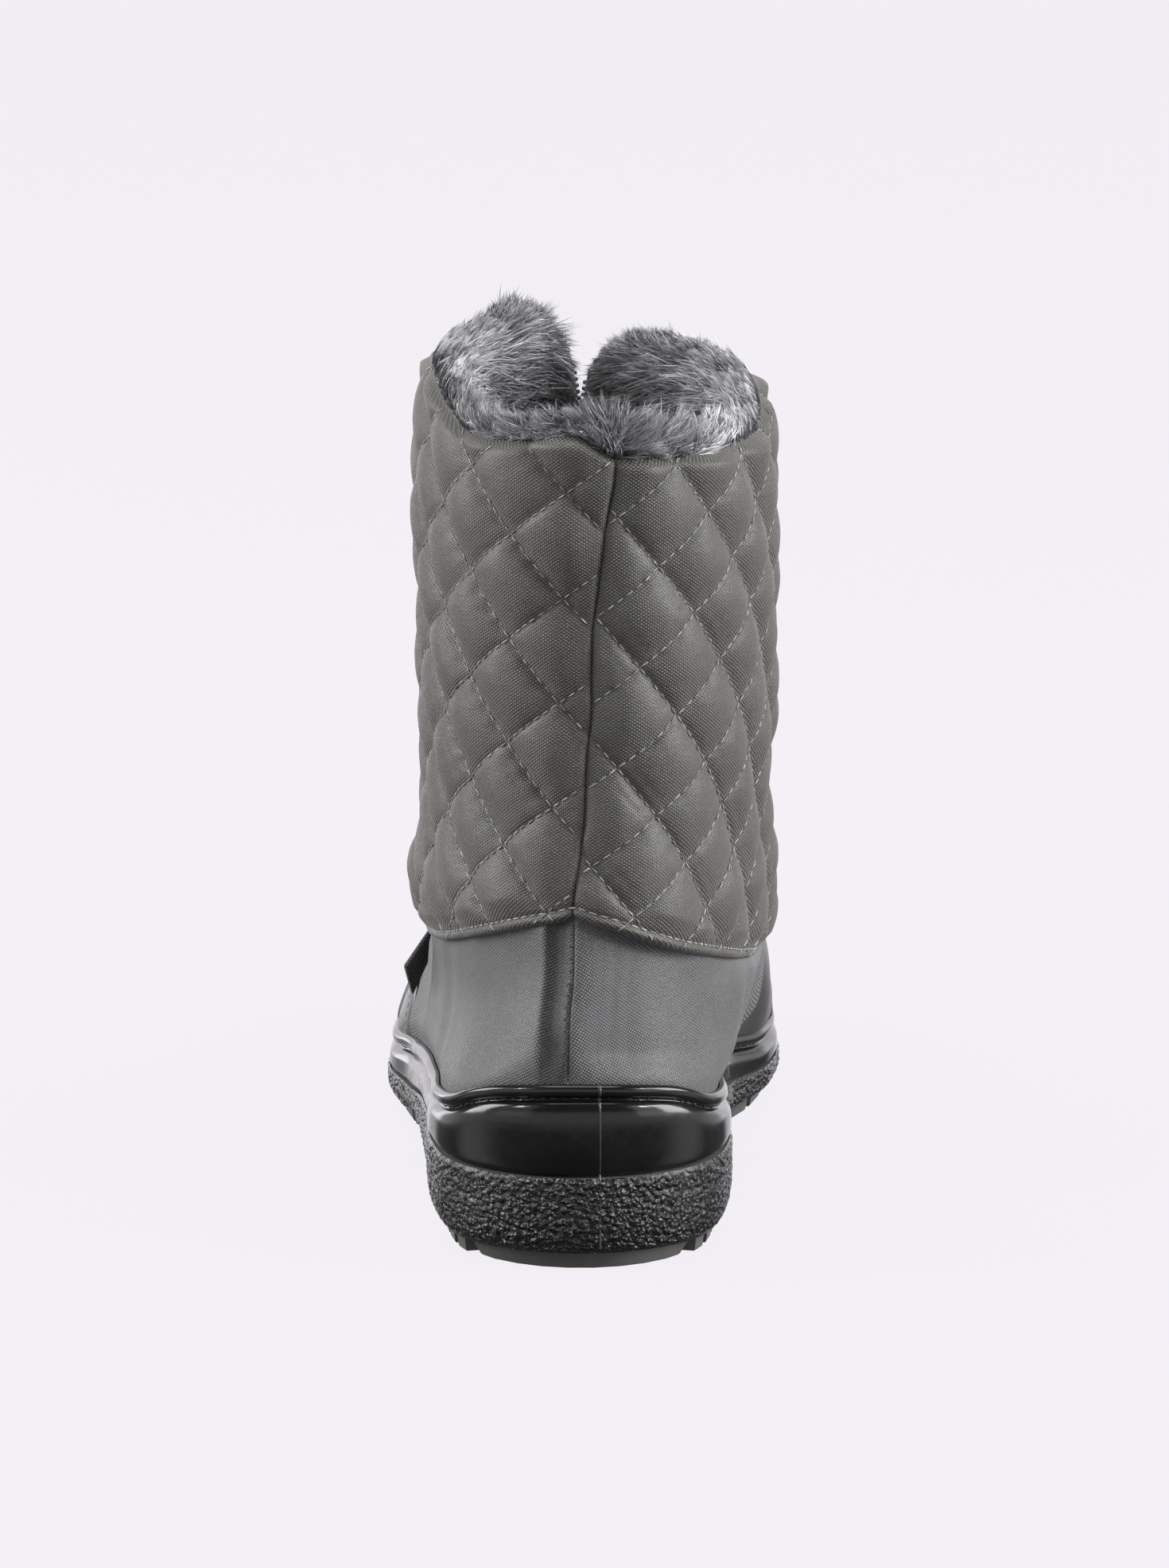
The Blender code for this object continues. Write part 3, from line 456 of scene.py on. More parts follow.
def stitchRow(points, normals, size=0.42, length=0.72):
    # Centres and axes of the stitches along a line of points, one for each step
    step = points[1:] - points[:-1]
    along = unit(step) * np.linalg.norm(step, axis=1, keepdims=True) * length / 2
    out = unit(normals[1:] + normals[:-1])
    across = unit(np.cross(along, out))
    return (points[1:] + points[:-1]) / 2, np.stack([across * size / 2, along, out * size * 0.42], axis=1)


def rowOn(turn, rise, out, **size):
    return stitchRow(upperPoint(turn, rise, out), faceNormal(turn, rise), **size)


def evenly(turn, rise, out, pitch, lift=0.05, **size):  # stitches at an even pitch along a line
    turn, rise = spaced(facePoint(turn, rise), pitch, turn, rise)
    return rowOn(turn, rise, out(turn, rise) + lift, **size)


def stitches(name, rows, finish):
    bm = bmesh.new()
    bmesh.ops.create_uvsphere(bm, u_segments=6, v_segments=4, radius=1.0)
    bmesh.ops.rotate(bm, cent=(0, 0, 0), matrix=Matrix.Rotation(math.pi / 2, 3, "X"), verts=bm.verts)
    centres, axes = (np.concatenate(parts) for parts in zip(*rows))
    return addPiece(name, copies(name, bm, centres, axes), finish)


def screen(r, g, b):  # a colour as seen on a screen, 0 to 255
    channels = [c / 255 for c in (r, g, b)]
    return (*[c / 12.92 if c <= 0.04045 else ((c + 0.055) / 1.055) ** 2.4 for c in channels], 1)


class Wire:  # one output of a node, which takes part in plain arithmetic
    def __init__(self, nodes, socket):
        self.nodes = nodes
        self.socket = socket

    def __add__(self, other):
        return self.nodes.sum("ADD", self, other)

    def __sub__(self, other):
        return self.nodes.sum("SUBTRACT", self, other)

    def __rsub__(self, other):
        return self.nodes.sum("SUBTRACT", other, self)

    def __mul__(self, other):
        return self.nodes.sum("MULTIPLY", self, other)

    def __pow__(self, other):
        return self.nodes.sum("POWER", self, other)

    __radd__ = __add__
    __rmul__ = __mul__


class Nodes:
    def __init__(self, tree):
        self.tree = tree

    def node(self, kind, settings, values, output=0):
        made = self.tree.nodes.new(kind)
        for name, setting in settings.items():
            if name == "stops":
                for place, colour in setting[2:]:
                    made.color_ramp.elements.new(place)
                for stop, (place, colour) in zip(made.color_ramp.elements, setting):
                    stop.position = place
                    stop.color = colour
            else:
                setattr(made, name, setting)
        for name, value in values.items():
            if isinstance(value, Wire):
                self.tree.links.new(value.socket, made.inputs[name])
            else:
                made.inputs[name].default_value = value
        return Wire(self, made.outputs[output])

    def sum(self, operation, *values):
        return self.node("ShaderNodeMath", {"operation": operation}, dict(enumerate(values)))

    def vector(self, operation, values):
        return self.node("ShaderNodeVectorMath", {"operation": operation}, values)

    def place(self):
        return self.node("ShaderNodeTexCoord", {}, {}, "Object")

    def cloth(self):
        return self.node("ShaderNodeUVMap", {"uv_map": "cloth"}, {})

    def split(self, vector):
        made = self.node("ShaderNodeSeparateXYZ", {}, {0: vector}).socket.node
        return [Wire(self, made.outputs[i]) for i in range(3)]

    def noise(self, scale, detail=3.0, where=None, rough=0.55):
        values = {"Vector": where or self.place(), "Scale": scale, "Detail": detail, "Roughness": rough}
        return self.node("ShaderNodeTexNoise", {}, values)

    def cells(self, scale, where=None):
        values = {"Vector": where or self.place(), "Scale": scale}
        return self.node("ShaderNodeTexVoronoi", {}, values, "Distance")

    def mix(self, share, a, b):
        return self.node("ShaderNodeMix", {"data_type": "RGBA"}, {0: share, 6: a, 7: b}, 2)

    def ramp(self, value, *stops):
        return self.node("ShaderNodeValToRGB", {"stops": stops}, {"Fac": value})

    def reach(self, value, low, high, toLow=0.0, toHigh=1.0):
        names = ("Value", "From Min", "From Max", "To Min", "To Max")
        return self.node("ShaderNodeMapRange", {}, dict(zip(names, (value, low, high, toLow, toHigh))))

    def bump(self, height, distance, strength=1.0, after=None):
        values = {"Height": height, "Distance": distance, "Strength": strength}
        if after:
            values["Normal"] = after
        return self.node("ShaderNodeBump", {}, values)


class Finish(Nodes):
    def __init__(self, name, **fixed):
        self.material = bpy.data.materials.new(name)
        self.material.use_nodes = True
        super().__init__(self.material.node_tree)
        self.shader = self.tree.nodes["Principled BSDF"]
        for socket, value in fixed.items():
            self.shader.inputs[socket.replace("_", " ")].default_value = value

    def feed(self, **links):
        for socket, value in links.items():
            self.tree.links.new(value.socket, self.shader.inputs[socket.replace("_", " ")])
        return self.material


# a near-black used for painted shade
paintedShadeColour = screen(20, 20, 20)


def canvas(name, look):
    finish = Finish(name, Sheen_Weight=look["sheen"], Sheen_Roughness=0.4, Specular_IOR_Level=look["gloss"])
    right, y, _ = finish.split(finish.cloth())
    x = right
    if look["lean"]:  # cut on the slant, the same way on both sides of the back seam
        beside = finish.sum("ABSOLUTE", x)
        lean = math.radians(look["lean"])
        x, y = beside * math.cos(lean) + y * math.sin(lean), y * math.cos(lean) - beside * math.sin(lean)
    wide, high = look["pitch"]
    threads = finish.sum("SINE", x * (math.pi / wide)) * finish.sum("SINE", y * (math.pi / high))
    knots = finish.sum("MAXIMUM", threads, 0.0) ** 0.75
    slub = finish.noise(1.0, 2.0, finish.vector("MULTIPLY", {0: finish.cloth(), 1: (0.25, 1.6, 1.0)}))
    soft = finish.noise(38.0, 4.0)
    shade = finish.mix(finish.reach(threads, -0.3, 0.8), look["gap"], look["thread"])
    shade = finish.mix(finish.reach(soft, 0.3, 0.75, 0.0, 0.35), shade, look["worn"])
    shade = finish.mix(finish.reach(slub, 0.35, 0.8, 0.0, 0.16), shade, look["gap"])
    if "fold" in look:  # painted shade in the hollow beside the seam, darkening it as the fold's shadow would
        low, high, paintedShade = look["fold"]
        shadeMask = finish.reach(right, low - 0.4, low + 0.4)
        shadeMask *= finish.reach(right, high - 0.5, high + 0.5, 1.0, 0.0)
        shade = finish.mix(shadeMask * paintedShade, shade, paintedShadeColour)
    bump = finish.bump(knots + slub * 0.2, look["depth"] * mm)
    bump = finish.bump(finish.noise(240.0), 0.00025, 0.3, bump)
    rough = finish.reach(slub, 0.2, 0.8, look["rough"] - 0.05, look["rough"] + 0.08)
    return finish.feed(Base_Color=shade, Roughness=rough, Normal=bump)


def leather(name, look):
    finish = Finish(name, Specular_IOR_Level=0.5, Coat_Roughness=0.22, Coat_Weight=look["coat"])
    grain = finish.cells(look["grain"]) * 0.7 + finish.noise(look["grain"] * 2.2, 2.0) * 0.5
    shade = finish.mix(finish.reach(finish.noise(55.0, 4.0), 0.35, 0.75), look["dark"], look["light"])
    bump = finish.bump(finish.noise(120.0), 0.0005, 0.25, finish.bump(grain, 0.00012, 0.4))
    rough = finish.reach(finish.noise(90.0, 5.0), 0.3, 0.75, look["rough"] - 0.06, look["rough"] + 0.1)
    return finish.feed(Base_Color=shade, Roughness=rough, Normal=bump)


def rubber(name, look):
    finish = Finish(name, Specular_IOR_Level=look["gloss"], Coat_Roughness=0.3, Coat_Weight=look["coat"])
    soft = finish.noise(60.0, 4.0)
    scuff = finish.noise(420.0, 5.0, rough=0.7)
    shade = finish.mix(finish.reach(soft, 0.35, 0.75), look["dark"], look["light"])
    rough = finish.reach(scuff * 0.6 + soft * 0.4, 0.35, 0.65, look["rough"] - 0.05, look["rough"] + 0.09)
    bump = finish.bump(scuff, 0.0001, look["marks"])
    if "pebble" in look:
        drift = finish.node("ShaderNodeTexNoise", {}, {"Vector": finish.place(), "Scale": 500.0}, "Color")
        drift = finish.vector("SCALE", {0: drift, "Scale": 0.0016})
        coarse = finish.cells(look["pebble"], finish.vector("ADD", {0: finish.place(), 1: drift}))
        lumps = finish.reach(coarse, 0.0, 0.75, 1.0, 0.0) + finish.noise(look["pebble"] * 2.1) * 0.45
        bump = finish.bump(lumps, 0.0009, 1.0, bump)
    return finish.feed(Base_Color=shade, Roughness=rough, Normal=bump)


def thread(name, look):
    finish = Finish(name, Sheen_Weight=0.2, Specular_IOR_Level=0.45)
    mark, along, _ = finish.split(finish.cloth())
    twist = finish.sum("SINE", along * 9.0 + finish.split(finish.place())[0] * 9000.0)
    shade = finish.mix(finish.reach(mark, 0, 1), look["dark"], look["light"])
    shade = finish.mix(finish.reach(twist, -1, 1, 0, 0.25), shade, look["dark"])
    rough = finish.reach(mark, 0, 1, 0.5, 0.7)
    return finish.feed(Base_Color=shade, Roughness=rough, Normal=finish.bump(twist, 0.00005, 0.4))


def plush(name, look):
    finish = Finish(name, Sheen_Weight=0.5, Sheen_Roughness=0.5, Specular_IOR_Level=0.2)
    tufts = finish.noise(420.0, 5.0, rough=0.7)
    pile = finish.reach(tufts * 0.6 + finish.noise(70.0, 4.0) * 0.5, 0.35, 0.75)
    rough = finish.reach(tufts, 0, 1, 0.85, 1.0)
    shade = finish.mix(pile, look["dark"], look["light"])
    return finish.feed(Base_Color=shade, Roughness=rough, Normal=finish.bump(tufts, 0.0012, 0.8))


def hair(name, look):
    finish = Finish(name, Specular_IOR_Level=0.2, Sheen_Weight=0.05)
    mark, along, _ = finish.split(finish.cloth())
    light = finish.reach(along * 0.5 + mark * 0.62 + finish.noise(95.0) * 0.36, 0.3, 1.15)
    stops = zip((0.0, 0.45, 0.8, 1.0), (look["root"], look["middle"], look["tip"], look["bright"]))
    return finish.feed(Base_Color=finish.ramp(light, *stops), Roughness=finish.reach(mark, 0, 1, 0.45, 0.65))


def metal(name, look):
    finish = Finish(name, Specular_IOR_Level=0.5)
    wear = finish.noise(260.0, rough=0.5)
    shade = finish.mix(finish.reach(wear, 0.35, 0.8), look["dark"], look["light"])
    rough = finish.reach(wear, 0.3, 0.7, look["rough"], look["rough"] + 0.08)
    metallic = finish.reach(wear, 0.2, 0.8, 0.85, 1.0)
    bump = finish.bump(wear, 0.00005, 0.3)
    return finish.feed(Base_Color=shade, Roughness=rough, Metallic=metallic, Normal=bump)


quiltLook = dict(
    pitch=(0.52, 0.41), lean=0, depth=0.36, sheen=0.2, gloss=0.5, rough=0.48,
    gap=screen(52, 51, 47), thread=screen(120, 118, 112), worn=screen(101, 100, 96),
)
heelLook = dict(
    pitch=(0.47, 0.47), lean=15, depth=0.42, sheen=0.15, gloss=0.5, rough=0.48,
    gap=screen(58, 57, 58), thread=screen(139, 137, 138), worn=screen(120, 119, 121),
    fold=(-7.2, -0.9, 0.62),  # from and to beside the back seam, how dark the painted shade of the hollow is
)
tapeLook = dict(
    pitch=(0.5, 0.5), lean=0, depth=0.12, sheen=0.1, gloss=0.3, rough=0.66,
    gap=screen(24, 24, 25), thread=screen(46, 46, 48), worn=screen(52, 52, 53),
)
labelLook = dict(
    pitch=(0.4, 0.4), lean=0, depth=0.1, sheen=0.2, gloss=0.4, rough=0.66,
    gap=screen(44, 44, 44), thread=screen(76, 76, 77), worn=screen(82, 82, 83),
)
vampLook = dict(dark=screen(58, 58, 59), light=screen(78, 78, 79), rough=0.4, coat=0.15, grain=1500.0)
guardLook = dict(dark=screen(32, 32, 33), light=screen(42, 42, 43), rough=0.38, coat=0.1, grain=1300.0)
bandLook = dict(
    dark=screen(18, 18, 18), light=screen(29, 29, 28), rough=0.13, coat=0.0, gloss=0.42, marks=0.2
)
mouldedLook = dict(
    dark=screen(30, 30, 30), light=screen(84, 84, 82), rough=0.3, coat=0.2, gloss=0.5, marks=0.6
)
# the lugs are painted far lighter than the black pebbled rubber of the same sole: painted light, because
# little light reaches them
treadPaintedLightLook = dict(
    dark=screen(84, 84, 82), light=screen(104, 104, 101), rough=0.42, coat=0.0, gloss=0.5, marks=0.4,
)
pebbleLook = dict(
    dark=screen(7, 7, 7), light=screen(15, 15, 14), rough=0.1, coat=0.4, gloss=0.5, marks=0.2, pebble=760.0,
)
stitchLook = dict(dark=screen(122, 121, 117), light=screen(186, 185, 180))
darkStitchLook = dict(dark=screen(18, 18, 18), light=screen(46, 46, 46))
liningLook = dict(dark=screen(70, 70, 72), light=screen(150, 150, 153))
furLook = dict(
    root=screen(38, 38, 41), middle=screen(120, 120, 123),
    tip=screen(180, 180, 182), bright=screen(226, 226, 228),
)
metalLook = dict(dark=screen(52, 52, 54), light=screen(120, 120, 124), rough=0.28)

quiltCanvas = canvas("quilted canvas", quiltLook)
heelCanvas = canvas("heel canvas", heelLook)
tapeCloth = canvas("zip tape cloth", tapeLook)
ribbon = canvas("label ribbon", labelLook)
vampLeather = leather("vamp leather", vampLook)
guardLeather = leather("guard leather", guardLook)
bandRubber = rubber("band rubber", bandLook)
moulded = rubber("moulded marks", mouldedLook)
treadRubberPaintedLight = rubber("tread rubber with painted light", treadPaintedLightLook)
pebbleRubber = rubber("pebbled rubber", pebbleLook)
greyThread = thread("grey thread", stitchLook)
darkThread = thread("dark thread", darkStitchLook)
lining = plush("plush lining", liningLook)
furHair = hair("fur", furLook)
darkMetal = metal("dark metal", metalLook)
print("finishes made")

# The quilted shaft, in millimetres
quilt = dict(
    columns=412,
    rows=200,
    edge=5.8,  # from the front centre line
    base=2.15,  # stand-off of a stitch line from the upper
    slimmer=(0.9, 0.2),  # how much less that is on the lateral side and on the medial side
    puff=2.9,
    floor=0.35,  # half width of the flat strip under a stitch line
    pucker=0.16,
    fold=0.22,  # second crease beside a line that runs down
    peak=(3.6, 9.0, 13.0),  # height, place and width of the rise of the top edge left of the back seam
    seamDepth=1.05,
    seamWidth=0.36,
    hemBand=2.6,  # from the hem's edge to its row of stitches
    lateral=((-20.2, 175.2), (12.8, -14.6), (13.9, 11.0)),  # a crossing, the way down and the way up
    medial=((14.5, 167.9), (9.6, -12.5), (14.6, 11.7)),
    stitch=2.7,
    threadWidth=0.36,
    threadRise=0.2,
)


def latticeOf(side, around, up):
    start, down, rising = quilt[side]
    x, z = around - start[0], up - start[1]
    area = down[0] * rising[1] - down[1] * rising[0]
    return (x * rising[1] - z * rising[0]) / area, (down[0] * z - down[1] * x) / area


def pillow(side, around, up):
    i, j = latticeOf(side, around, up)
    _, down, rising = quilt[side]
    area = abs(down[0] * rising[1] - down[1] * rising[0])
    cellI, cellJ = np.floor(i), np.floor(j)
    fi, fj = i - cellI, j - cellJ
    own = spread(cellI, cellJ, 3)  # each diamond's own number
    toDown = np.minimum(fj, 1 - fj) * area / math.hypot(*down)
    toRising = np.minimum(fi, 1 - fi) * area / math.hypot(*rising)
    flatI, flatJ = (quilt["floor"] * math.hypot(*way) / area for way in (rising, down))
    crossI = np.clip((fi - flatI) / (1 - 2 * flatI), 0, 1)
    crossJ = np.clip((fj - flatJ) / (1 - 2 * flatJ), 0, 1)
    # Deep valleys along the lines that run down, shallower ones along the lines that climb
    dome = np.sin(math.pi * crossJ ** (0.85 + 0.3 * own)) ** 0.6
    dome *= 0.42 + 0.58 * np.sin(math.pi * crossI**0.9) ** 0.5
    tucks = np.exp(-toDown / 2.0) * np.sin(i * 23 + own * 6)
    tucks += 0.7 * np.exp(-toRising / 2.0) * np.sin(j * 21 + own * 6)
    foldAt = 2.6 + 1.2 * spread(cellI, cellJ, 5)
    fold = bell(toDown, foldAt, 0.75) * np.sin(math.pi * fi) * smooth(0.35, 0.7, spread(cellI, cellJ, 6))
    return dome * (0.82 + 0.3 * own) * quilt["puff"] + tucks * quilt["pucker"] - fold * quilt["fold"]


def topPeak(turn):
    high, place, width = quilt["peak"]
    beside = -besideSeam(turn)
    return high * smooth(0, place, beside) * bell(np.maximum(beside, place), place, width)


def quiltTop(turn):  # the rise of the shaft's top edge
    return collarRise(turn) + topPeak(turn) / ringStep


def quiltOut(turn, rise):
    around, up = lengthsAt(turn, rise)
    off = around - seamAround(up)
    puff = np.where(off < 0, pillow("lateral", around, up), pillow("medial", around, up))
    fromHem = up - readTable(upTable, turn, hemRise(turn))
    fromTop = readTable(upTable, turn, quiltTop(turn)) - up
    fromFront = (frontTurn(quilt["edge"]) - np.abs(turn)) * frontWidth
    puff *= blend(0.2, 1.0, smooth(1.8, 8.0, fromHem))
    puff *= smooth(-1.0, 3.0, fromTop) * smooth(2.0, 8.0, fromFront)
    puff *= blend(0.4, 1.0, smooth(0.0, 8.5, np.abs(off))) * blend(0.45, 1.0, smooth(0.0, 1.6, np.abs(off)))
    puff += 0.35 * waves(around, up, 46.0, 2.0) + 0.07 * waves(around, up, 7.5, 4.0)
    groove = quilt["seamDepth"] * np.exp(-np.abs(off) / quilt["seamWidth"])
    groove += 0.5 * bell(fromHem, quilt["hemBand"], 0.7) + 0.45 * bell(fromFront, 2.8, 0.9)
    slim = np.where(turn < 0, *quilt["slimmer"]) * smooth(0.7, 1.5, np.abs(turn))
    out = quilt["base"] + puff - slim - groove
    out = out * rounded(fromHem, 1.3, 0.004) * rounded(fromFront, 1.3, 0.004)
    return np.maximum(out - smooth(2.6, 0, fromTop) * 2.2, 0.25)


def quiltPlace(u, v):
    edge = frontTurn(quilt["edge"])
    marks = [0, 0.012, 0.484, 0.492, 0.5, 0.508, 0.516, 0.988, 1]
    plain = np.interp(u, marks, [-edge, -edge + 0.05, -0.06, -0.015, 0, 0.015, 0.06, edge - 0.05, edge])
    share = np.interp(v, [0, 0.028, 0.985, 1], [0, 0.016, 0.99, 1.003])
    turn = plain
    for _ in range(3):
        rise = blend(hemRise(turn), quiltTop(turn), share)
        turn = plain + seamTurn(rise) * nearSeam(plain)
    rise = blend(hemRise(turn), quiltTop(turn), share)
    return upperPoint(turn, rise, quiltOut(turn, rise)), lengthsAt(turn, rise)


shaft = sheet("quiltedShaft", quilt, quiltPlace, quiltCanvas, weld=False)
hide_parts("shaft_quilt")
print("quilted shaft made")


def latticeRows():
    rows = []
    for side, sign in (("lateral", -1), ("medial", 1)):
        start, down, rising = quilt[side]
        for own, other in ((down, rising), (rising, down)):
            count = int(math.hypot(*own) / quilt["stitch"] + 0.5)  # stitches from crossing to crossing
            reach = (np.arange(-24 * count, 24 * count) + 0.5) / count
            number, step = np.meshgrid(np.arange(-24, 25), reach)
            ends = [
                [start[k] + number * other[k] + (step + shift / count) * own[k] for k in (0, 1)]
                for shift in (-0.5, 0.5)
            ]
            around, up = ((ends[0][k] + ends[1][k]) / 2 for k in (0, 1))
            keep = (np.abs(around) < 200) & (up > 20) & (up < 225)
            keep &= (around - seamAround(up)) * sign > 1.1
            around, up = around[keep], up[keep]
            turn, rise = placeOf(around, up)
            aroundThere, upThere = lengthsAt(turn, rise)
            inside = np.hypot(aroundThere - around, upThere - up) < 0.3
            inside &= (rise > hemRise(turn) + 0.06) & (rise < quiltTop(turn) - 0.03)
            inside &= np.abs(turn) < frontTurn(quilt["edge"] + 3.2)
            turn, rise = turn[inside], rise[inside]
            first, last = (placeOf(*(line[keep][inside] for line in end)) for end in ends)
            along = (upperPoint(*last, quiltOut(*last)) - upperPoint(*first, quiltOut(*first))) * 0.36
            normal = faceNormal(turn, rise)
            across = unit(np.cross(along, normal)) * quilt["threadWidth"] / 2
            centre = upperPoint(turn, rise, quiltOut(turn, rise) + quilt["threadRise"])
            rows.append((centre, np.stack([across, along, normal * 0.2], axis=1)))
    return rows


def hemRow():
    turn = np.linspace(-frontTurn(9.0), frontTurn(9.0), 4000)
    rise = hemRise(turn)
    perRise = (readTable(upTable, turn, rise + 0.1) - readTable(upTable, turn, rise)) / 0.1
    return evenly(turn, rise + quilt["hemBand"] / perRise, quiltOut, 2.5, 0.16, size=0.4, length=0.76)


def frontRow(side):
    turn = np.full(600, side * frontTurn(quilt["edge"] + 2.8))
    rise = np.linspace(hemRise(turn[0]) + 0.15, collarRise(turn[0]) - 0.05, len(turn))
    return evenly(turn, rise, quiltOut, 2.3)


stitches("quiltStitches", latticeRows(), greyThread)
stitches("shaftEdgeStitches", [hemRow(), frontRow(-1), frontRow(1)], greyThread)
print("quilt stitches made")

# The canvas upper, its heel and creases, the leather vamp and the toe guard
shell = dict(columns=250, rows=88, wall=2.0, seamDepth=0.7, seamWidth=0.5)
# Beside the back seam, stand-off: a sharp fold, a hollow up to the seam and a fall right of it
heelPleat = [
    (-40, 0.0), (-30, -0.5), (-20, -0.7), (-13, -0.1), (-9, 0.7), (-7.6, 1.0), (-6.9, 0.3),
    (-6.0, -0.45), (-4.6, -0.95), (-2.4, -0.75), (-0.8, 0.1), (0.0, 0.4), (1.2, 0.25), (3.0, -0.5),
    (7.0, -2.0), (11.0, -2.9), (16.0, -3.0), (26.0, -1.8), (40.0, 0.0),
]
creases = [  # degrees from the back, rise, length, width, depth, way it runs (0 level, 90 upright)
    (-152, 3.0, 30, 3.0, 1.1, 8), (155, 3.05, 32, 3.2, 1.2, -6), (178, 3.45, 40, 3.4, 1.2, 0),
    (-120, 2.6, 24, 3.0, 0.7, 30), (122, 2.55, 24, 3.0, 0.7, -28), (-58, 2.2, 22, 5.0, 0.5, 78),
    (60, 2.1, 24, 5.5, 0.5, -76),
]
fullness = [  # rise, how far the lateral and the medial side of the foot stand out
    (0.9, 0.0, 0.0), (1.35, 0.6, 2.9), (1.8, -0.2, 4.4), (2.3, -0.9, 4.2), (2.9, -0.5, 3.0),
    (3.3, 0.0, 1.1), (3.9, 0.0, 0.0),
]


def fuller(turn, rise):
    out = np.where(turn < 0, Profile(fullness, 1)(rise), Profile(fullness, 2)(rise))
    return out * smooth(0.4, 1.15, np.abs(turn)) * smooth(2.3, 1.6, np.abs(turn))


def creased(turn, rise):
    around, up = lengthsAt(turn, rise)
    girth = 2 * readTable(aroundTable, np.full_like(around, math.pi), rise)
    out = 0.22 * waves(around, up, 34.0, 5.0) * smooth(0, 0.4, math.pi - np.abs(turn))
    for degrees, level, length, width, depth, way in creases:
        startAround, startUp = lengthsAt(np.array(math.radians(degrees)), np.array(float(level)))
        x, y = around - startAround, up - startUp
        x = x - girth * np.round(x / girth)
        angle = math.radians(way)
        off = y * math.cos(angle) - x * math.sin(angle)
        fold = bell(off, 0, width) - 0.55 * bell(np.abs(off), 2.1 * width, width)
        out -= depth * bell(x * math.cos(angle) + y * math.sin(angle), 0, length) * fold
    return out * smooth(0.9, 1.8, rise) + fuller(turn, rise)


def pleatAt(off):  # straight from row to row, eased over a third of a millimetre
    at, out = zip(*heelPleat)
    return sum(np.interp(off + shift, at, out) for shift in (-0.35, 0, 0.35)) / 3


def heelOut(turn, rise):
    around, up = lengthsAt(turn, rise)
    off = around - seamAround(up)
    out = creased(turn, rise) + pleatAt(off) * smooth(1.0, 1.8, rise)
    return (out - shell["seamDepth"] * np.exp(-np.abs(off) / shell["seamWidth"])) * smooth(1.0, 1.3, rise)


vamp = dict(
    columns=190,
    rows=46,
    out=0.95,
    edgeTop=107.0,  # degrees from the back at which it starts, by the hem
    edgeFoot=95.0,  # and by the sole
    edgeBow=2.0,
    medialBack=8.0,  # how much further back it comes on the medial side
    stitch=1.9,
)
footTurn = 44  # as much as a radian of turn comes to on the foot


def vampEdge(turn, rise):
    share = smooth(1.0, 3.4, rise)
    bow = vamp["edgeBow"] * np.sin(math.pi * share) + np.where(turn > 0, vamp["medialBack"], 0.0)
    return np.radians(blend(vamp["edgeFoot"], vamp["edgeTop"], share) - bow)


def shellPlace(u, v):
    foot, top = 4.8, 6.2  # the rings below the shaft, and those up it
    low = np.interp(v, [0, 0.06, 0.62, 1], [0.0, 0.95, foot, foot + top])
    turns = [-math.pi, -0.4, -0.025, 0, 0.025, 0.36, math.pi]
    plain = np.interp(u, [0, 0.38, 0.49, 0.5, 0.51, 0.6, 1], turns)
    rise = np.where(low > foot, blend(foot, collarRise(plain), (low - foot) / top), low)
    turn = plain + seamTurn(rise) * nearSeam(plain)
    slit = slitTurn * smooth(slitRise - 0.02, slitRise + 0.02, rise)
    turn = np.sign(turn) * np.minimum(np.abs(turn), math.pi - slit)
    covered = smooth(-0.15, 0.15, rise - hemRise(turn))
    hidden = smooth(0.04, 0.14, np.abs(turn) - vampEdge(turn, rise))  # below the vamp
    out = (heelOut(turn, rise) - 0.45 * hidden) * (1 - covered)
    around, up = lengthsAt(turn, rise)
    return upperPoint(turn, rise, out), (around - seamAround(up), up)


canvasUpper = sheet("canvasUpper", shell, shellPlace, heelCanvas, lining)
wall = canvasUpper.modifiers.new("wall", "SOLIDIFY")
wall.thickness = shell["wall"] * mm
wall.offset = -1
wall.material_offset = 1
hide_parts("upper")


def vampOut(turn, rise):
    fromEdge = (np.abs(turn) - vampEdge(turn, rise)) * footTurn
    out = vamp["out"] * rounded(fromEdge, 0.9, 0.003) - 0.3 * bell(fromEdge, vamp["stitch"], 0.6)
    return out + creased(turn, rise) * smooth(0, 12, fromEdge)


def vampPlace(u, v):
    rise = blend(0.97, 1.0, v)
    side = np.where(u < 0.5, -1, 1)
    share = np.interp(np.abs(u - 0.5) * 2, [0, 0.97, 1], [0, 0.99, 1])
    for _ in range(6):
        turn = side * blend(math.pi, vampEdge(side, rise), share)
        rise = blend(0.97, hemRise(turn) + 0.25, v)
    return upperPoint(turn, rise, vampOut(turn, rise)), lengthsAt(turn, rise)


leatherVamp = sheet("leatherVamp", vamp, vampPlace, vampLeather)

guard = dict(
    columns=200,
    rows=34,
    foot=1.04,
    out=1.9,
    start=108.0,
    stitch=2.4,
    top=[(108, 1.4), (113, 2.15), (126, 2.75), (150, 3.05), (180, 3.2)],
)
guardTop = Profile(guard["top"], 1)
guardRing = 11  # millimetres to a ring by its top edge


def guardOut(turn, rise):
    degrees = np.degrees(np.abs(turn))
    fromTop = (guardTop(degrees) - rise) * guardRing
    out = guard["out"] + 0.35 * creased(turn, rise)
    for distance in (fromTop, (degrees - guard["start"]) * 0.8):
        out = blend(0.7, out, rounded(distance, 1.3, 0.0))
    return out - 0.35 * bell(fromTop, guard["stitch"], 0.7)


def guardPlace(u, v):
    share = np.interp(u, [0, 0.01, 0.99, 1], [0, 0.006, 0.994, 1])
    degrees = blend(guard["start"], 360 - guard["start"], share)
    turn = np.radians(np.where(degrees <= 180, degrees, degrees - 360))
    high = guardTop(np.minimum(degrees, 360 - degrees))
    rise = blend(guard["foot"], high, np.interp(v, [0, 0.85, 1], [0, 0.93, 1]))
    return upperPoint(turn, rise, guardOut(turn, rise)), lengthsAt(turn, rise)


